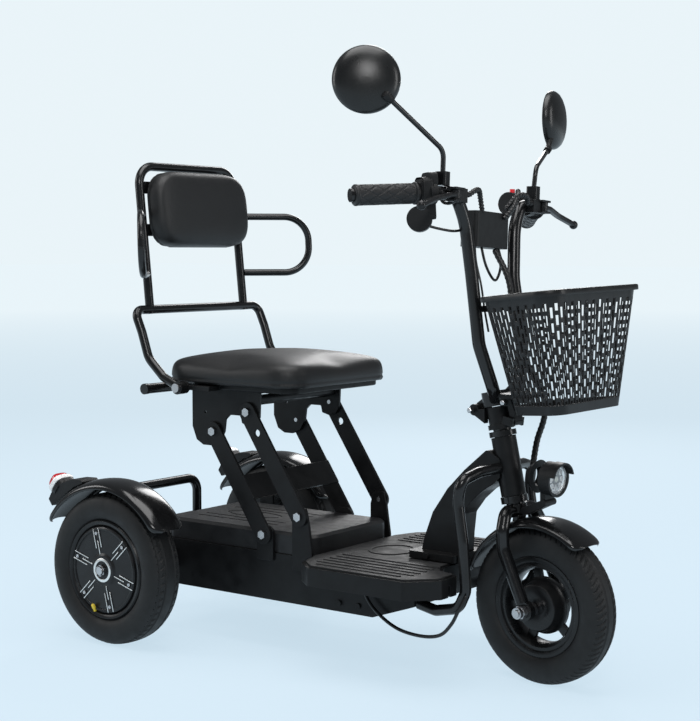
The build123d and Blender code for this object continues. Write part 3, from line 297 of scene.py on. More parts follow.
HUB = finish_mat("hub_black", (0.0042, 0.0043, 0.0047), 0.32, spec=0.32, bump=(420, 0.12, 0.0004), bevel=0.001)
STEEL = finish_mat("zinc_steel", (0.42, 0.42, 0.43), 0.28, metal=1.0, tint=[0.55, 0.55, 0.56], bump=(400, 0.1, 0.0004), bevel=0.0006)
BOLT = finish_mat("bolt_black", (0.012, 0.012, 0.013), 0.34, spec=0.5, bump=(400, 0.15, 0.0004), bevel=0.0006)
SILVER = brushed_mat("machined_silver", (0.82, 0.82, 0.80), 0.34)
ALLOY = brushed_mat("controller_alloy", (0.55, 0.56, 0.57), 0.38)
RED = finish_mat("red_plastic", (0.62, 0.012, 0.02), 0.28, coat=0.3, bump=(300, 0.05, 0.0004))
REDLENS = finish_mat("red_lens", (0.45, 0.004, 0.012), 0.16, coat=0.6, coat_rough=0.03, tint=[0.65, 0.01, 0.02], bump=(260, 0.25, 0.0008))
WHITE = finish_mat("white_trim", (0.75, 0.74, 0.72), 0.3, coat=0.3, bump=(200, 0.04, 0.0004))
YELLOW = finish_mat("yellow_cap", (0.72, 0.50, 0.03), 0.35, coat=0.2, bump=(500, 0.1, 0.0003))
AMBER = finish_mat("led_chip", (0.8, 0.78, 0.62), 0.3, bump=(900, 0.2, 0.0003))
VINYL = leather_mat("black_vinyl", (0.0068, 0.0069, 0.0072), 0.46)
CLEAR = glass_mat("clear_lens", (0.95, 0.96, 0.97))
MIRROR = finish_mat("mirror_glass", (0.82, 0.84, 0.85), 0.03, metal=1.0, rough_var=0.015, tint=[0.86, 0.88, 0.88], bump=(40, 0.01, 0.0004))
SHELL = finish_mat("mirror_shell", (0.0045, 0.0048, 0.005), 0.3, spec=0.4, rough_var=0.04, bump=(600, 0.06, 0.0004))
REFLECT = finish_mat("reflector_bright", (0.7, 0.7, 0.68), 0.18, metal=1.0, rough_var=0.06, bump=(300, 0.12, 0.0004))

LOOK = {
    "chassis_box": PAINT, "battery_cover": COVER, "battery_pack": PLASTIC, "motor_controller": ALLOY, "foot_deck": PAINT,
    "foot_mat": MAT, "neck_beam": PAINT, "head_tube": PAINT, "head_bearings": TUBE, "guard_bars": TUBE, "rear_handle": TUBE,
    "rear_subframe": PAINT, "rear_axle": STEEL, "rear_fenders": GLOSS, "tail_light_housings": PLASTIC, "tail_light_lenses": REDLENS,
    "seat_lugs": PAINT, "lower_link_bolts": STEEL, "underdeck_cable": CABLE, "front_links": PAINT, "rear_links": PAINT,
    "seat_brackets": PAINT, "seat_base_plate": PAINT, "seat_cushion": VINYL, "seat_rear_tube": TUBE, "seat_bolts": STEEL,
    "backrest_lower_hoop": TUBE, "backrest_upper_hoop": TUBE, "backrest_cushion": VINYL, "armrests": TUBE, "right_rear_tyre": TYRE,
    "right_rear_hub": HUB, "left_rear_tyre": TYRE, "left_rear_hub": HUB, "front_tyre": TYRE, "front_rim": HUB, "fork": TUBE,
    "fold_lower_clamp": PAINT, "headlight": PLASTIC, "headlight_lens": CLEAR, "front_fender": GLOSS, "front_axle": STEEL,
    "drum_brake_plate": HUB, "brake_arm": STEEL, "fork_cables": CABLE, "handlebar": TUBE, "latch_lever": PAINT, "basket": BASK,
    "basket_bracket": PAINT, "left_grip": GRIP, "throttle_grip": GRIP, "handlebar_controls": PLASTIC, "right_brake_lever": HUB,
    "left_brake_lever": HUB, "mirror_stems": TUBE, "right_mirror": GLOSS, "left_mirror": GLOSS, "horn_button": RED,
    "light_button": RED, "handlebar_cables": CABLE,
}
for name, node in NODES.items():
    node.data.materials.clear()
    node.data.materials.append(LOOK[name])
    for poly in node.data.polygons:
        poly.use_smooth = True
    node.data.set_sharp_from_angle(angle=math.radians(31))


# ---------------------------------------------------------------- mesh helpers
def make(name, verts, faces, mat, body, smooth=35.0, matrix=None):
    me = bpy.data.meshes.new(name)
    me.from_pydata([tuple(v) for v in verts], [], faces)
    me.validate()
    if matrix is not None:
        me.transform(matrix)
    bm = bmesh.new()
    bm.from_mesh(me)
    bmesh.ops.recalc_face_normals(bm, faces=bm.faces)
    bm.to_mesh(me)
    bm.free()
    me.materials.append(mat)
    if smooth:
        for p in me.polygons:
            p.use_smooth = True
        me.set_sharp_from_angle(angle=math.radians(smooth))
    o = bpy.data.objects.new(name, me)
    bpy.context.scene.collection.objects.link(o)
    if body:
        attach(o, body)
    return o


def grid(nu, nv, fn, wrap_u=False, wrap_v=False, keep=None, cap=False):
    """Vertices fn(i, j) and the quads between them."""
    verts = [fn(i, j) for i in range(nu) for j in range(nv)]
    faces = []
    for i in range(nu if wrap_u else nu - 1):
        for j in range(nv if wrap_v else nv - 1):
            if keep and not keep(i, j):
                continue
            a, b = i * nv + j, ((i + 1) % nu) * nv + j
            c, d = ((i + 1) % nu) * nv + (j + 1) % nv, i * nv + (j + 1) % nv
            faces.append((a, b, c, d))
    if cap and wrap_v:
        faces.append(tuple(range(nv)))
        faces.append(tuple((nu - 1) * nv + k for k in reversed(range(nv))))
    return verts, faces


def catmull(pts, per=10):
    P = [Vector(p) for p in pts]
    P = [P[0] * 2 - P[1]] + P + [P[-1] * 2 - P[-2]]
    out = []
    for k in range(1, len(P) - 2):
        p0, p1, p2, p3 = P[k - 1:k + 3]
        for q in range(per):
            t = q / per
            out.append(0.5 * ((2 * p1) + (p2 - p0) * t + (2 * p0 - 5 * p1 + 4 * p2 - p3) * t * t + (3 * p1 - p0 - 3 * p2 + p3) * t ** 3))
    out.append(P[-2])
    return out


def resample(path, step):
    d = [0.0]
    for a, b in zip(path, path[1:]):
        d.append(d[-1] + (b - a).length)
    n = max(2, int(round(d[-1] / step)))
    out, k = [], 0
    for i in range(n + 1):
        t = d[-1] * i / n
        while k < len(d) - 2 and d[k + 1] < t:
            k += 1
        f = (t - d[k]) / max(1e-9, d[k + 1] - d[k])
        out.append(path[k].lerp(path[k + 1], min(1, max(0, f))))
    return out, d[-1]


def tube(name, path, radius, mat, body, ring=20, fn=None, rounded=True, smooth=50.0):
    """Round tube along path; fn(distance, angle) adds to the radius."""
    frames = []
    up = Vector((0.31, 0.17, 0.93)).normalized()
    n = len(path)
    dist = 0.0
    for i, p in enumerate(path):
        t = (path[min(n - 1, i + 1)] - path[max(0, i - 1)]).normalized()
        up = (up - t * up.dot(t)).normalized()
        frames.append((p, t, up, t.cross(up), dist))
        if i < n - 1:
            dist += (path[i + 1] - p).length
    rows = []
    for p, t, u, v, s in frames:
        rows.append([p + (u * math.cos(a) + v * math.sin(a)) * (radius + (fn(s, a) if fn else 0)) for a in (2 * math.pi * k / ring for k in range(ring))])
    if rounded:
        p, t, u, v, s = frames[0]
        rows.insert(0, [p - t * radius * 0.35 + (q - p) * 0.75 for q in rows[0]])
        p, t, u, v, s = frames[-1]
        rows.append([p + t * radius * 0.35 + (q - p) * 0.75 for q in rows[-1]])
    verts, faces = grid(len(rows), ring, lambda i, j: rows[i][j], wrap_v=True, cap=True)
    return make(name, verts, faces, mat, body, smooth)


def revolve(name, profile, mat, body, matrix, n=96, fn=None, smooth=40.0, closed=True):
    """profile of (along axis, radius) in mm turned round local x; fn(angle, along, radius) gives a new (along, radius)."""
    m = len(profile)

    def point(i, j):
        a = 2 * math.pi * i / n
        y, r = profile[j]
        if fn:
            y, r = fn(a, y, r, j)
        return Vector((y, r * math.cos(a), r * math.sin(a))) / 1000

    verts, faces = grid(n, m, point, wrap_u=True, wrap_v=closed)
    return make(name, verts, faces, mat, body, smooth, matrix)


def rounded_block(name, size, r, mat, body, matrix, seg=3):
    """Box with rounded edges, size in mm."""
    bm = bmesh.new()
    bmesh.ops.create_cube(bm, size=1.0)
    for v in bm.verts:
        v.co = Vector((v.co.x * size[0], v.co.y * size[1], v.co.z * size[2])) / 1000
    bmesh.ops.bevel(bm, geom=list(bm.edges), offset=r / 1000, segments=seg, profile=0.5, affect="EDGES")
    me = bpy.data.meshes.new(name)
    bm.to_mesh(me)
    bm.free()
    me.transform(matrix)
    me.materials.append(mat)
    for p in me.polygons:
        p.use_smooth = True
    me.set_sharp_from_angle(angle=math.radians(50))
    o = bpy.data.objects.new(name, me)
    bpy.context.scene.collection.objects.link(o)
    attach(o, body)
    return o


def join(name, objs):
    """One mesh object from several that share a body."""
    bpy.context.view_layer.update()
    body = objs[0].get("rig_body")
    bm = bmesh.new()
    mats = []
    for o in objs:
        me = o.data.copy()
        me.transform(o.matrix_world)
        base = len(mats)
        for mt in o.data.materials:
            mats.append(mt)
        start = len(bm.faces)
        bm.from_mesh(me)
        bm.faces.ensure_lookup_table()
        for f in bm.faces[start:]:
            f.material_index += base
        bpy.data.meshes.remove(me)
    me = bpy.data.meshes.new(name)
    bm.to_mesh(me)
    bm.free()
    for mt in mats:
        me.materials.append(mt)
    for o in objs:
        bpy.data.objects.remove(o)
    n = bpy.data.objects.new(name, me)
    bpy.context.scene.collection.objects.link(n)
    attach(n, body)
    return n


# ---------------------------------------------------------------- tyres
def tyre(name, node, body, matrix, R, w, rin, n, tread):
    h = w / 2
    prof = []
    # sidewall, shoulder and crown, from the inner bead round to the outer one
    half = [(0.60, 0.0), (0.70, 0.02), (0.86, 0.10), (0.96, 0.22), (1.0, 0.38), (1.0, 0.5), (0.985, 0.60), (0.95, 0.70), (0.90, 0.785), (0.84, 0.85), (0.80, 0.878), (0.76, 0.902),
            (0.70, 0.928), (0.64, 0.948), (0.585, 0.962), (0.53, 0.972), (0.46, 0.981), (0.40, 0.987), (0.33, 0.992), (0.27, 0.995), (0.19, 0.998), (0.12, 0.9995), (0.05, 1.0)]
    for a, b in half:
        prof.append((-a * h, rin + b * (R - rin)))
    for a, b in reversed(half):
        prof.append((a * h, rin + b * (R - rin)))
    inner = [(0.5, -0.02), (0.45, 0.06), (-0.45, 0.06), (-0.5, -0.02)]
    for a, b in inner:
        prof.append((a * h, rin + b * (R - rin)))

    def fn(a, y, r, j):
        return y, r - tread(a, y / h, (r - rin) / (R - rin))

    o = revolve(name, prof, TYRE, body, matrix, n=n, fn=fn, smooth=32)
    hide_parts(node)
    return o


def rear_tread(a, u, q):
    """Grooves in mm: three bands round the crown, and slanted sipes between them."""
    g = 0.0
    if q > 0.86:
        au = abs(u)
        for c, wd in ((0.0, 0.045), (0.36, 0.04), (0.66, 0.04)):
            if abs(au - c) < wd:
                g = 2.2
        s = (a * 60 / (2 * math.pi) + u * 1.6) % 1.0
        if 0.4 < au < 0.80 and s < 0.2:
            g = max(g, 1.8)
    elif 0.56 < q < 0.60:
        g = 0.7
    return g


def front_tread(a, u, q):
    g = 0.0
    if q > 0.84:
        au = abs(u)
        s = (a * 72 / (2 * math.pi) + (1 if u > 0 else -1) * au * 2.2) % 1.0
        if abs(u) < 0.05:
            g = 2.0
        elif 0.30 < au < 0.86 and s < 0.26:
            g = 1.9
        if abs(au - 0.30) < 0.035:
            g = max(g, 1.6)
    elif 0.56 < q < 0.60:
        g = 0.7
    return g


REAR = {"right": -1, "left": 1}
for side, s in REAR.items():
    body = "wheel_rear_" + side
    m = place(W(0, s * 232, 135), Vector((0, s, 0)), Vector((0, 0, 1)))
    tyre(side + "_rear_tyre_tread", side + "_rear_tyre", body, m, 135.0, 68.0, 87.0, 720, rear_tread)
    # rim lip, hub cover ring, machined lines, screws and the valve
    revolve(side + "_rim_lip", [(22, 78), (27, 79), (29.5, 82), (30, 86.5), (27, 89), (22, 88.5), (20, 86)], HUB, body, m, n=160)
    revolve(side + "_hub_step", [(29.5, 70), (30.8, 71), (31.2, 74), (29.2, 76.5), (28, 76.5), (28, 70)], HUB, body, m, n=160)
    revolve(side + "_hub_ring", [(30, 16.4), (33.4, 16.4), (34.2, 17.2), (34.2, 20.2), (33.4, 21.2), (30, 21.2)], SILVER, body, m, n=72)
    revolve(side + "_hub_nut_cap", [(33, 0.01), (39.5, 0.01), (40.6, 3.0), (40.2, 7.5), (38.5, 9.4), (33, 9.8)], BOLT, body, m, n=6, smooth=20, closed=False)
    lines = []
    dots = []
    for k in range(6):
        ang = 104 - 60 * k
        for off, r0, r1 in ((-6.5, 40, 75), (6.5, 40, 75), (0.0, 25, 53)):
            a = math.radians(ang)
            u = Vector((math.cos(a), 0, math.sin(a)))
            v = Vector((-math.sin(a), 0, math.cos(a)))
            c = W(0, s * (232 + 30.6), 135) + (u * (r0 + r1) / 2 + v * off) / 1000
            lines.append(rounded_block(f"{side}_line_{k}_{int(off)}", (r1 - r0, 1.6, 1.3), 0.4, SILVER, body, place(c, u, Vector((0, s, 0))), seg=2))
        c = W(0, s * (232 + 30.0), 135) + u * 66 / 1000
        dots.append(revolve(f"{side}_screw_{k}", [(0, 0.01), (1.9, 0.01), (1.9, 1.1), (2.4, 1.5), (2.3, 3.0), (1.2, 3.4), (0, 3.4)], STEEL, body, place(c, Vector((0, s, 0)), Vector((0, 0, 1))), n=18, closed=False))
    join(side + "_hub_lines", lines)
    join(side + "_hub_screws", dots)
    va = math.radians(-108)
    u = Vector((math.cos(va), 0, math.sin(va)))
    c = W(0, s * (232 + 27), 135) + u * 80 / 1000
    revolve(side + "_valve", [(0, 0.01), (0.2, 3.2), (7, 2.6), (7.4, 3.4), (15, 3.2), (16.6, 2.2), (17, 0.01)], YELLOW, body, place(c, (-u + Vector((0, s * 0.75, 0))), Vector((0, 0, 1))), n=20, closed=False)

# ---------------------------------------------------------------- front wheel
FO, FY = S(741, 0, 127.5), vdir(S, (741, 0, 127.5), (0, 1, 0))
FX = vdir(S, (741, 0, 127.5), (1, 0, 0))
FZ = vdir(S, (741, 0, 127.5), (0, 0, 1))
fm = place(FO, FY, FZ)
tyre("front_tyre_tread", "front_tyre", "wheel_front", fm, 127.5, 56.0, 80.0, 864, front_tread)
for s in (-1, 1):
    mm = place(FO, FY * s, FZ)
    revolve("front_rim_lip_" + ("r" if s < 0 else "l"), [(17, 71), (21, 73), (22.5, 77), (22, 81.5), (19, 82.5), (16, 80), (15, 74)], HUB, "wheel_front", mm, n=160)
va = math.radians(150)
u = FX * math.cos(va) + FZ * math.sin(va)
revolve("front_valve", [(0, 0.01), (0.2, 3.2), (8, 2.6), (8.4, 3.6), (17, 3.4), (18.6, 2.4), (19, 0.01)], YELLOW, "wheel_front", place(FO + u * 0.074 - FY * 0.012, -u - FY * 0.35, FZ), n=20, closed=False)


# front rim: barrel, hub shell and five spokes with open arcs between them
barrel = revolve("front_rim_barrel", [(-19, 80), (-17.5, 74), (-19, 66), (-13, 61.5), (-4, 60), (4, 60), (13, 61.5), (19, 66), (17.5, 74), (19, 80), (14, 81.5), (8, 76), (-8, 76), (-14, 81.5)], HUB, "wheel_front", fm, n=160)
hubf = revolve("front_hub_shell", [(-3.5, 46.5), (-5, 44), (-9, 41.5), (-22, 38.6), (-25, 37), (-26, 34), (-26, 14), (-25, 12.5), (-25, 7), (23, 7), (23, 29), (21, 33), (9, 42), (5, 44), (3.5, 46.5)], HUB, "wheel_front", fm, n=120)
spokes = []
for k in range(5):
    a = math.radians(30 + 72 * k)
    u = FX * math.cos(a) + FZ * math.sin(a)
    spokes.append(rounded_block(f"front_spoke_{k}", (20, 17, 7), 2.2, HUB, "wheel_front", place(FO + u * 0.0535, u, FY)))
join("front_spokes", spokes)
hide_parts("front_rim")


# ---------------------------------------------------------------- fenders
def fender(name, o, x, z, y, R, half, drop, a0, a1, body):
    """Arched skin round a wheel: o centre, x forwards, z up, y along the axle; angles from x towards z."""
    n, m = 72, 30
    prof = []
    for k in range(m + 1):
        f = math.radians(-90 + 180 * k / m)
        prof.append((math.sin(f), 1 - abs(math.cos(f)) ** 0.75, 0.0))
    for k in range(m + 1):
        f = math.radians(90 - 180 * k / m)
        prof.append((math.sin(f) * 0.962, 1 - abs(math.cos(f)) ** 0.75, 1.7))

    def point(i, j):
        a = math.radians(a0 + (a1 - a0) * i / n)
        e = min(i, n - i) * abs(a1 - a0) / n / 7.0
        w = half * (0.60 + 0.40 * math.sqrt(max(0.0, 1 - max(0.0, 1 - e) ** 2)))
        v, d, t = prof[j]
        r = R - drop * d * (w / half) - t
        return o + (x * math.cos(a) * r + z * math.sin(a) * r + y * v * w) / 1000

    verts, faces = grid(n + 1, len(prof), point, wrap_v=True)
    for row in (0, n):
        for k in range(m):
            a, b = row * len(prof) + k, row * len(prof) + k + 1
            c, d = row * len(prof) + 2 * m - k, row * len(prof) + 2 * m + 1 - k
            faces.append((a, b, c, d))
    return make(name, verts, faces, GLOSS, body, 45)


pair = []
for s in (-1, 1):
    f = fender("rear_fender_" + ("r" if s < 0 else "l"), W(0, s * 232, 127), Vector((1, 0, 0)), Vector((0, 0, 1)), Vector((0, 1, 0)), 167.5, 38.6, 15, 33, 150, "frame")
    pair.append(f)
rearf = join("rear_fender_skins", pair)
for p in rearf.data.polygons:
    p.use_smooth = True
rearf.data.set_sharp_from_angle(angle=math.radians(45))
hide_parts("rear_fenders")
ff = fender("front_fender_skin", FO, FX, FZ, FY, 143.2, 37.6, 11.5, 50, 162, "steering")
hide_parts("front_fender")
rounded_block("front_fender_tab", (15, 22, 12), 2, TUBE, "steering", place(S(692, 0, 264), vdir(S, (692, 0, 264), (0.2, 0, 1)), FX))

# white surrounds and domes of the tail lights
domes = []
for s in (-1, 1):
    n_, y_ = Vector((-0.8, 0, 0.6)), Vector((0, 1, 0))
    up_ = n_.cross(y_)
    pts = []
    for q in range(64):
        a = 2 * math.pi * q / 64
        ca, sa = math.cos(a), math.sin(a)
        pts.append((y_ * (21.5 * abs(ca) ** 0.6 * (1 if ca > 0 else -1)) + up_ * (17.5 * abs(sa) ** 0.6 * (1 if sa > 0 else -1))))
    o = W(-134, s * 232, 271)
    rows = [(1.0, 0.3), (1.05, 0.8), (1.07, 3.0), (1.05, 7.5), (1.01, 9.6), (0.95, 10.0), (0.90, 9.4), (0.90, 0.6)]
    verts, faces = grid(64, len(rows), lambda i, j: o + (pts[i] * rows[j][0] + n_ * rows[j][1]) / 1000, wrap_u=True, wrap_v=True)
    make("tail_light_ring_" + ("r" if s < 0 else "l"), verts, faces, WHITE, "frame", 40)
    rows = [(0.90, 2.0), (0.90, 9.0), (0.89, 12.0), (0.85, 15.0), (0.77, 17.6), (0.64, 19.8), (0.45, 21.4), (0.22, 22.3), (0.04, 22.6)]
    verts, faces = grid(64, len(rows), lambda i, j: o + (pts[i] * rows[j][0] + n_ * rows[j][1]) / 1000, wrap_u=True)
    faces.append(tuple(i * len(rows) for i in range(64)))
    faces.append(tuple(i * len(rows) + len(rows) - 1 for i in range(64)))
    domes.append(make("tail_dome_" + ("r" if s < 0 else "l"), verts, faces, REDLENS, "frame", 40))
domes = join("tail_light_domes", domes)
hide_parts("tail_light_lenses")


# ---------------------------------------------------------------- basket
def basket_outline(h):
    """Outline at height h (0 to 1) as a function of the turn round it."""
    x0, x1 = -26 * h, 109 + 29 * h
    w0, w1 = 62 + 30 * h, 93 + 37 * h
    r = 21 + 8 * h
    corners = [(x0, -w0), (x1, -w1), (x1, w1), (x0, w0)]
    pts = []
    for k in range(4):
        p0, p1, p2 = (Vector((*corners[(k + d) % 4], 0)) for d in (-1, 0, 1))
        a, b = (p0 - p1).normalized(), (p2 - p1).normalized()
        half = math.acos(max(-1, min(1, a.dot(b)))) / 2
        tl = r / math.tan(half)
        c = p1 + (a + b).normalized() * (r / math.sin(half))
        s0, s1 = p1 + a * tl - c, p1 + b * tl - c
        tot = s0.angle(s1)
        sign = 1 if s0.cross(s1).z > 0 else -1
        for q in range(9):
            pts.append(c + Matrix.Rotation(sign * tot * q / 8, 3, "Z") @ s0)
    return pts


NB = 148  # strips and slots round the basket
HB = 190.0
cache = {}


def loop_at(h, n=NB):
    key = (round(h, 4), n)
    if key not in cache:
        pts = basket_outline(h)
        pts = pts + [pts[0]]
        d = [0.0]
        for a, b in zip(pts, pts[1:]):
            d.append(d[-1] + (b - a).length)
        out, k = [], 0
        for i in range(n):
            t = d[-1] * i / n
            while d[k + 1] < t:
                k += 1
            f = (t - d[k]) / max(1e-9, d[k + 1] - d[k])
            out.append(pts[k].lerp(pts[k + 1], f))
        cache[key] = out
    return cache[key]


def basket_normal(i, h, n=NB):
    lp = loop_at(h, n)
    t = (lp[(i + 1) % n] - lp[(i - 1) % n]).normalized()
    return Vector((t.y, -t.x, 0))


ROWS = [0.0, 7.0, 15.0]
KIND = [None, None]
z = 15.0
while z < 166.0:
    for k, step in enumerate((5.4, 6.6, 5.4, 6.6)):
        z += step
        if z > 171.0:
            break
        ROWS.append(z)
        KIND.append(k)
for z in (174.0, 181.0, 187.0):
    ROWS.append(z)
    KIND.append(None)


def wall_point(i, j):
    zz = ROWS[j]
    h = zz / HB
    p = loop_at(h)[i]
    nrm = basket_normal(i, h)
    tan = Vector((-nrm.y, nrm.x, 0))
    q = p + nrm * -1.4 + tan * (0.72 if i % 2 == 0 else -0.72)
    return B(q.x, q.y, zz)


def wall_keep(i, j):
    if i % 2 == 0 or KIND[j] is None:
        return True
    return KIND[j] == (3 if (i // 2) % 2 == 0 else 1)


verts, faces = grid(NB, len(ROWS), wall_point, wrap_u=True, keep=wall_keep)
wall = make("basket_weave", verts, faces, BASK, None, smooth=0)
sol = wall.modifiers.new("t", "SOLIDIFY")
sol.thickness = 0.0019
sol.offset = 0
bev = wall.modifiers.new("b", "BEVEL")
bev.width = 0.0006
bev.segments = 1
bev.limit_method = "ANGLE"
bev.angle_limit = math.radians(50)
dg = bpy.context.evaluated_depsgraph_get()
me = bpy.data.meshes.new_from_object(wall.evaluated_get(dg))
wall.modifiers.clear()
wall.data = me
for p in me.polygons:
    p.use_smooth = True
me.set_sharp_from_angle(angle=math.radians(38))
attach(wall, "handlebar_body")

rim_prof = [(-3.0, 181.5), (0.2, 181.5), (0.8, 184.2), (5.2, 184.6), (5.6, 181.2), (7.4, 181.2), (8.2, 183.0), (8.2, 188.2), (6.8, 189.8), (3.0, 190.4), (-1.2, 190.0), (-2.9, 188.6)]
RN = 208
top = loop_at(1.0, RN)


def rim_point(i, j):
    o, zz = rim_prof[j]
    nrm = basket_normal(i, 1.0, RN)
    q = top[i] + nrm * (o if o < 0 else o * 0.62)
    return B(q.x, q.y, zz)


verts, faces = grid(RN, len(rim_prof), rim_point, wrap_u=True, wrap_v=True)
rim = make("basket_rim", verts, faces, BASK, "handlebar_body", smooth=30)

bot = loop_at(0.0)
cen = Vector((54, 0, 0))
RS = [1.0, 0.93, 0.80, 0.72, 0.60, 0.52, 0.40, 0.32, 0.20, 0.12]
verts, faces = grid(NB, len(RS), lambda i, j: B(*(cen + (bot[i] + basket_normal(i, 0) * -1.4 - cen) * RS[j]).xy, 1.6), wrap_u=True,
                    keep=lambda i, j: j % 2 == 0 or i % 2 == 0)
faces.append(tuple(i * len(RS) + len(RS) - 1 for i in range(NB)))
floor_b = make("basket_floor", verts, faces, BASK, None, smooth=0)
sol = floor_b.modifiers.new("t", "SOLIDIFY")
sol.thickness = 0.0028
sol.offset = 0
dg = bpy.context.evaluated_depsgraph_get()
me = bpy.data.meshes.new_from_object(floor_b.evaluated_get(dg))
floor_b.modifiers.clear()
floor_b.data = me
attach(floor_b, "handlebar_body")
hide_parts("basket")


# ---------------------------------------------------------------- grips
def grip_fn(dist, ang):
    """Raised lozenges on the grip, in metres."""
    if dist < 0.008 or dist > 0.116:
        return 0.0
    u = dist / 0.0135
    v = ang / (2 * math.pi) * 12
    a, b = (u + v) % 2.0, (u - v) % 2.0
    return 0.0 if (a < 0.34 or b < 0.34) else 0.0010


for s, name, node, body, g0, g1 in ((1, "left_grip_rubber", "left_grip", "handlebar_body", 6, 130), (-1, "throttle_grip_rubber", "throttle_grip", "throttle", 23, 120)):
    path = [H(*G(s, g0 + 1.0 * k)) for k in range(0, g1 - g0 + 2)]
    g = tube(name, path, 0.0152, GRIP, body, ring=96, fn=grip_fn, smooth=40)
    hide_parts(node)
    pm = place(H(*G(s, g0)), vdir(H, G(s, 6), [G(s, 7)[k] - G(s, 6)[k] for k in range(3)]), Vector((0, 0, 1)))
    rr = 19.0 if s > 0 else 17.5
    revolve(name + "_collar", [(0, 14), (0, rr - 1), (1, rr), (3.4, rr), (4.4, rr - 1), (5, 14.5)], GRIP, body, pm, n=64, closed=False)
    pm = place(H(*G(s, g1 + 2)), vdir(H, G(s, 6), [G(s, 7)[k] - G(s, 6)[k] for k in range(3)]), Vector((0, 0, 1)))
    revolve(name + "_end", [(-3, 12), (-2.6, 16.2), (-1, 16.8), (2, 16.6), (3.6, 15.4), (4.4, 12), (4.6, 7), (3.6, 5.5), (3.5, 0.01)], GRIP, body, pm, n=64, closed=False)


gd = vdir(H, G(-1, 0), [G(-1, 1)[k] - G(-1, 0)[k] for k in range(3)])
rounded_block("throttle_housing", (27, 34, 42), 11, PLASTIC, "handlebar_body", place(H(*G(-1, 7.5, -2.5, 3)), gd, Vector((0, 0, 1))), seg=5)
rounded_block("throttle_housing_band", (4, 35.4, 43.5), 11, PLASTIC, "handlebar_body", place(H(*G(-1, 8, -2.5, 3)), gd, Vector((0, 0, 1))), seg=5)


# ---------------------------------------------------------------- cushions
def cushion(name, node, body, matrix, size, r_plan, r_edge, pin_low, cap, fill):
    """Rounded slab, swollen by a cloth simulation with its resting face pinned. size in mm: local x, y, z(thickness)."""
    sx, sy, sz = size
    bm = bmesh.new()
    n = 14
    outline = []
    for cx, cy, a0 in ((1, 1, 0), (-1, 1, 90), (-1, -1, 180), (1, -1, 270)):
        for k in range(n + 1):
            a = math.radians(a0 + 90 * k / n)
            outline.append((cx * (sx / 2 - r_plan) + r_plan * math.cos(a), cy * (sy / 2 - r_plan) + r_plan * math.sin(a)))
    rings = []
    prof = [(0.0, 3.0), (0.0, 0.0)]
    levels = [(-2.5, 0.0), (0.0, 2.5)]
    for k in range(1, 8):
        levels.append((0.0, 2.5 + (sz - 2.5 - r_edge) * k / 8))
    for k in range(0, 9):
        a = math.radians(90 * k / 8)
        levels.append((-r_edge + r_edge * math.cos(a), sz - r_edge + r_edge * math.sin(a)))
    for off, zz in levels:
        ring = []
        for x, y in outline:
            v = Vector((x, y))
            inner = Vector((max(-sx / 2 + r_plan, min(sx / 2 - r_plan, x)), max(-sy / 2 + r_plan, min(sy / 2 - r_plan, y))))
            d = (v - inner).normalized() if (v - inner).length > 1e-6 else v.normalized()
            p = v + d * off
            ring.append(bm.verts.new((p.x / 1000, p.y / 1000, zz / 1000)))
        rings.append(ring)
    m = len(outline)
    for a, b in zip(rings, rings[1:]):
        for k in range(m):
            bm.faces.new((a[k], a[(k + 1) % m], b[(k + 1) % m], b[k]))
    bm.faces.new(list(reversed(rings[0])))
    bm.faces.new(rings[-1])
    bmesh.ops.recalc_face_normals(bm, faces=bm.faces)
    me = bpy.data.meshes.new(name)
    bm.to_mesh(me)
    bm.free()
    o = bpy.data.objects.new(name, me)
    bpy.context.scene.collection.objects.link(o)
    rm = o.modifiers.new("r", "REMESH")
    rm.mode = "VOXEL"
    rm.voxel_size = 0.005
    dg = bpy.context.evaluated_depsgraph_get()
    me = bpy.data.meshes.new_from_object(o.evaluated_get(dg))
    o.modifiers.clear()
    o.data = me
    rest = [v.co.copy() for v in me.vertices]
    vg = o.vertex_groups.new(name="pin")
    vg.add([i for i, c in enumerate(rest) if c.z < pin_low / 1000], 1.0, "REPLACE")
    cl = o.modifiers.new("c", "CLOTH")
    st = cl.settings
    st.quality = 5
    st.mass = 0.25
    st.tension_stiffness = 26
    st.compression_stiffness = 60
    st.shear_stiffness = 26
    st.bending_stiffness = 22.0
    st.use_pressure = True
    st.uniform_pressure_force = 4.0
    st.vertex_group_mass = "pin"
    st.effector_weights.gravity = 0.0
    cl.collision_settings.use_collision = False
    cl.point_cache.frame_start = 1
    cl.point_cache.frame_end = 20
    sc = bpy.context.scene
    for f in range(1, 21):
        sc.frame_set(f)
    dg = bpy.context.evaluated_depsgraph_get()
    ev = o.evaluated_get(dg)
    me2 = bpy.data.meshes.new_from_object(ev)
    o.modifiers.clear()
    for v, c in zip(me2.vertices, rest):
        d = v.co - c
        if d.length > cap / 1000:
            v.co = c + d.normalized() * cap / 1000
    o.data = me2
    sc.frame_set(1)
    me = o.data
    bm = bmesh.new()
    bm.from_mesh(me)
    free = [v for v in bm.verts if v.co.z > (pin_low + 2) / 1000]
    for _ in range(26):
        bmesh.ops.smooth_vert(bm, verts=free, factor=0.5, use_axis_x=True, use_axis_y=True, use_axis_z=True)
    bm.to_mesh(me)
    bm.free()
    return o


def finish_cushion(o, mat, body, node, matrix, shape):
    """shape(point in mm) gives a displaced point: crown and seams, after the simulation."""
    sub = o.modifiers.new("s", "SUBSURF")
    sub.levels = 1
    sub.render_levels = 1
    dg = bpy.context.evaluated_depsgraph_get()
    me = bpy.data.meshes.new_from_object(o.evaluated_get(dg))
    o.modifiers.clear()
    o.data = me
    for v in me.vertices:
        v.co = shape(v.co * 1000) / 1000
    me.transform(matrix)
    me.materials.clear()
    me.materials.append(mat)
    for p in me.polygons:
        p.use_smooth = True
    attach(o, body)
    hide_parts(node)
    return o


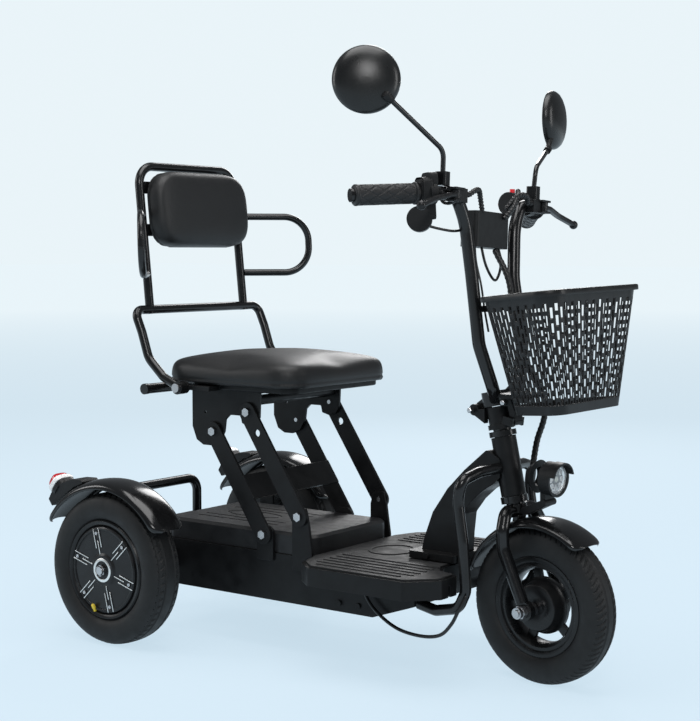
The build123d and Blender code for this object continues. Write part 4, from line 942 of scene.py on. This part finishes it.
# seat: local x forwards, y left, z up, on the pan
SEAT_M = place(W(185, 0, 463), Vector((1, 0, 0)), Vector((0, 0, 1)))
seat = cushion("seat_pad", "seat_cushion", "seat", SEAT_M, (304, 302, 42), 50, 16, 5.0, 22, 0.7)


def seat_shape(p):
    x, y, z = p
    # keep the underside on the pan and the pad inside its outline
    fx, fy = min(1.0, abs(x) / 159.0), min(1.0, abs(y) / 158.0)
    crown = (1 - fx ** 3) * (1 - fy ** 3)
    if z > 20:
        t = min(1.0, (z - 20) / 20)
        z = min(z, 45.0 + 8.5 * crown + 1.5 * math.tanh((z - 44) / 6)) if z > 44 else z
        z += t * (2.0 * crown)
    # sewn seam round the side
    g = 1.3 * math.exp(-((z - 9.0) / 1.6) ** 2)
    k = 1 - g / 150.0
    x, y = max(-158.5, min(158.5, x)), max(-157.5, min(157.5, y))
    return Vector((x * k, y * k, z))


finish_cushion(seat, VINYL, "seat", "seat_cushion", SEAT_M, seat_shape)

# back pad: local x to the rider's left, y up the backrest, z forwards
lean = math.radians(6.05)
PN = Vector((math.cos(lean), 0, math.sin(lean)))
BX = -18 - 0.106 * (771 - 676)
BACK_M = place(W(BX + 8.9 * PN.x, 0, 771 + 8.9 * PN.z), Vector((0, 1, 0)), PN)
back = cushion("back_pad", "backrest_cushion", "backrest", BACK_M, (252, 140, 36), 42, 15, 5.0, 16, 0.7)


def back_shape(p):
    x, y, z = p
    fx, fy = min(1.0, abs(x) / 131.0), min(1.0, abs(y) / 75.0)
    crown = (1 - fx ** 3) * (1 - fy ** 3)
    if z > 38:
        z = 38 + 8.0 * math.tanh((z - 38) / 8)
    z += 2.0 * crown * min(1.0, max(0.0, (z - 16) / 16))
    g = 1.2 * math.exp(-((z - 8.0) / 1.5) ** 2)
    k = 1 - g / 100.0
    if y > 0:
        x *= 1 - 0.085 * (min(74.0, y) / 74.0) ** 3
    x, y = max(-130.5, min(130.5, x)), max(-74.0, min(74.0, y))
    return Vector((x * k, y * k, z))


finish_cushion(back, VINYL, "backrest", "backrest_cushion", BACK_M, back_shape)

# ---------------------------------------------------------------- mirrors
MIR = {
    "right": (-1, (605, -256, 917), (569.7, -262, 944), (0.62, -0.78, 0.05)),
    "left": (1, (588, 249, 890), (574, 290, 947), (0.97, 0.23, 0.03)),
}
for side, (s, ball, head, nn) in MIR.items():
    c = H(*head)
    nrm = vdir(H, head, nn)
    mm = place(c, nrm, Vector((0, 0, 1)))
    prof = [(-7, 49.5), (-6.6, 51.4), (-4, 52.6), (-1, 52.4), (3, 50.8), (7, 47.6), (10.2, 42.6), (13, 36), (15.2, 28), (16.8, 19), (17.7, 10), (18, 0.01)]
    shell = revolve(side + "_mirror_shell", prof, SHELL, "mirror_" + side, mm, n=128, closed=False, smooth=50)
    revolve(side + "_mirror_glass", [(-5.2, 0.01), (-5.2, 47.6), (-5.8, 49.2), (-6.9, 49.9)], MIRROR, "mirror_" + side, mm, n=128, closed=False)
    b = H(*ball)
    sd = (b - H(631, s * 139, 846)).normalized()
    boss = revolve(side + "_mirror_collar", [(-12, 4.2), (-12, 6.0), (-11, 6.6), (3, 6.6), (5, 5.2), (5.6, 0.01)], PLASTIC, "mirror_" + side, place(b, sd, Vector((0, 0, 1))), n=36, closed=False)
    toward = -nrm if s < 0 else (c - b).normalized()
    L = 8 if s < 0 else 26
    revolve(side + "_mirror_neck", [(0, 0.01), (0, 5.0), (L * 0.5, 4.8), (L, 6.5), (L + 1.5, 7.5), (L + 1.5, 0.01)], PLASTIC, "mirror_" + side, place(b, toward, Vector((0, 0, 1))), n=28, closed=False)
    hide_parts(side + "_mirror")

# ---------------------------------------------------------------- cables
def wrap(pitch, depth):
    return lambda s, a: depth * (0.5 + 0.5 * math.cos(a - 2 * math.pi * s / pitch)) ** 3


p, _ = resample(catmull([H(648, -88.6, 781), H(650, -74, 789), H(645, -56, 790), H(639, -42, 778), H(637, -32, 758)], 12), 0.0007)
c1 = tube("right_lever_cable", p, 0.0036, CABLE, "handlebar_body", ring=28, fn=wrap(0.0055, 0.0010))
p, _ = resample(catmull([H(648, 88.6, 781), H(653, 74, 792), H(648, 54, 790), H(638, 38, 768)], 12), 0.0007)
c2 = tube("left_lever_cable", p, 0.0040, CABLE, "handlebar_body", ring=28, fn=wrap(0.0055, 0.0009))
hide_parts("handlebar_cables")
drop = [H(633, 16, 699), S(660, 17, 650), S(672, 15, 590), S(681, 34, 515), S(697, 58, 462), S(700, 59, 425), S(696, 45, 388), S(700, 30, 360), S(708, 16, 346)]
p, _ = resample(catmull(drop, 14), 0.0012)
c3 = tube("loom_down", p, 0.0048, CABLE, None, ring=28, fn=wrap(0.008, 0.0006))
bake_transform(c3)
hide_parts("fork_cables")
p, _ = resample(catmull([W(462, -122, 143), W(488, -124, 110), W(532, -124, 84), W(580, -124, 77), W(620, -126, 84), W(645, -130, 106), W(660, -131, 132), W(668.5, -123.6, 152)], 12), 0.0015)
c5 = tube("deck_loop", p, 0.0029, CABLE, "frame", ring=20)
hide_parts("underdeck_cable")

EXTRA = [
    ("switch_cable", [(598, 112, 764), (604, 90, 752), (616, 70, 744), (624, 50, 738), (627, 44, 734)], 2.6, 0.0, 0),
    ("throttle_cable", [(606, -146, 730), (614, -120, 726), (622, -92, 724), (626, -64, 728), (626, -46, 730)], 2.2, 0.0, 0),
    ("box_loop_a", [(630, 30, 703), (634, 33, 684), (637, 26, 664), (640, 10, 650), (642, -8, 656), (638, -20, 676), (632, -24, 703)], 2.2, 0.0, 0),
    ("box_loop_b", [(626, -34, 703), (634, -40, 676), (646, -42, 640), (653, -40, 600), (659, -36, 566)], 1.7, 0.0, 0),
    ("bundle_wrap", [(641, 28, 752), (650, 40, 770), (647, 58, 792), (636, 76, 800), (628, 92, 792)], 3.6, 0.0009, 0.0055),
]
for nm, pts, rad, dep, pit in EXTRA:
    p, _ = resample(catmull([H(*q) for q in pts], 12), 0.0008 if dep else 0.0015)
    tube(nm, p, rad / 1000, CABLE, "handlebar_body", ring=24, fn=wrap(pit, dep) if dep else None)
for nm, pos, rad in (("bracket_bolt", (684.5, -32.5, 455), 4.2), ("hinge_bolt", (613, -27.5, 437), 4.6)):
    revolve(nm, [(0, 0.01), (0, rad), (2.2, rad), (3.0, rad * 0.8), (3.4, 0.01)], STEEL, "steering" if nm == "hinge_bolt" else "handlebar_body",
            place(S(*pos), -FY, FZ), n=6 if nm == "hinge_bolt" else 24, closed=False, smooth=25)

# ---------------------------------------------------------------- headlight
hd = vdir(S, (716, 0, 337), (1, 0, -0.05))
hm = place(S(716, 0, 337), hd, Vector((0, 0, 1)))
revolve("headlight_reflector", [(44.5, 0.01), (44.5, 6), (46.8, 22.8), (45.2, 23.6), (43.4, 6), (43.4, 0.01)], REFLECT, "steering", hm, n=64, closed=False)
leds = []
for k in range(9):
    a = 2 * math.pi * k / 8
    yy, zz = (0, 0) if k == 8 else (14.5 * math.cos(a), 14.5 * math.sin(a))
    o = hm @ Vector((45.2 / 1000, yy / 1000, zz / 1000))
    leds.append(revolve(f"led_{k}", [(0, 0.01), (0, 4.6), (0.6, 4.9), (1.4, 4.2), (1.6, 0.01)], AMBER if k == 8 else WHITE, "steering", place(o, hd, Vector((0, 0, 1))), n=16, closed=False))
join("headlight_leds", leds)

# ---------------------------------------------------------------- stage
floor_me = bpy.data.meshes.new("floor")
floor_me.from_pydata([(-60, -60, 0), (60, -60, 0), (60, 60, 0), (-60, 60, 0)], [], [(0, 1, 2, 3)])
floor = bpy.data.objects.new("floor", floor_me)
bpy.context.scene.collection.objects.link(floor)
fm_, nt, b = new_mat("pale_floor")
tc = add(nt, "ShaderNodeTexCoord")
ln = add(nt, "ShaderNodeVectorMath")
ln.operation = "LENGTH"
nt.links.new(tc.outputs["Object"], ln.inputs[0])
mr = add(nt, "ShaderNodeMapRange")
mr.inputs["From Min"].default_value = 0.5
mr.inputs["From Max"].default_value = 16.0
nt.links.new(ln.outputs["Value"], mr.inputs["Value"])
nz = add(nt, "ShaderNodeTexNoise", Scale=0.6, Detail=3.0)
nt.links.new(tc.outputs["Object"], nz.inputs["Vector"])
mx = add(nt, "ShaderNodeMix")
mx.data_type = "RGBA"
mx.inputs["A"].default_value = (0.56, 0.70, 0.80, 1)
mx.inputs["B"].default_value = (0.795, 0.885, 0.927, 1)
nt.links.new(mr.outputs["Result"], mx.inputs["Factor"])
nt.links.new(mx.outputs["Result"], b.inputs["Emission Color"])
b.inputs["Emission Strength"].default_value = 1.0
b.inputs["Base Color"].default_value = (0.12, 0.125, 0.13, 1)
b.inputs["Specular IOR Level"].default_value = 0.0
b.inputs["Roughness"].default_value = 0.9
floor_me.materials.append(fm_)
bpy.context.scene.view_settings.view_transform = "Standard"

world = bpy.data.worlds.new("studio")
bpy.context.scene.world = world
world.use_nodes = True
nt = world.node_tree
bg = nt.nodes["Background"]
lp = nt.nodes.new("ShaderNodeLightPath")
wm = nt.nodes.new("ShaderNodeMix")
wm.data_type = "RGBA"
wm.inputs["A"].default_value = (0.17, 0.185, 0.20, 1)
wm.inputs["B"].default_value = (0.82, 0.905, 0.945, 1)
nt.links.new(lp.outputs["Is Camera Ray"], wm.inputs["Factor"])
nt.links.new(wm.outputs["Result"], bg.inputs["Color"])
bg.inputs["Strength"].default_value = 1.0


def area(name, loc, target, size, power, size_y=None):
    li = bpy.data.lights.new(name, "AREA")
    li.energy = power
    li.size = size
    if size_y:
        li.shape = "RECTANGLE"
        li.size_y = size_y
    o = bpy.data.objects.new(name, li)
    o.location = loc
    o.rotation_euler = (Vector(target) - Vector(loc)).to_track_quat("-Z", "Y").to_euler()
    bpy.context.scene.collection.objects.link(o)
    return o


area("top", (0.1, -0.3, 3.0), (0, -0.05, 0.4), 2.2, 70)
area("key", (2.0, -2.4, 2.4), (0.05, 0, 0.5), 1.0, 34)
area("fill", (-2.8, -1.6, 1.7), (0, 0, 0.5), 0.8, 26, 1.8)
area("rim", (-1.4, 2.6, 2.0), (0, 0, 0.6), 0.8, 36, 1.8)
area("side", (3.0, 0.9, 1.4), (0, 0, 0.5), 0.6, 22, 2.0)

# ---------------------------------------------------------------- camera
A, E = math.radians(36.7562), math.radians(4.06495)
back_dir = Vector((math.sin(A) * math.cos(E), -math.cos(A) * math.cos(E), math.sin(E)))
cam_data = bpy.data.cameras.new("camera")
cam_data.sensor_width = 36
cam_data.lens = 1541.51 / 721 * 36
cam = bpy.data.objects.new("camera", cam_data)
bpy.context.scene.collection.objects.link(cam)
cam.location = (Vector((1957.7 + XR, -2155.5, 697.0)) + SH) / 1000
cam.rotation_euler = (-back_dir).to_track_quat("-Z", "Y").to_euler()
bpy.context.scene.camera = cam
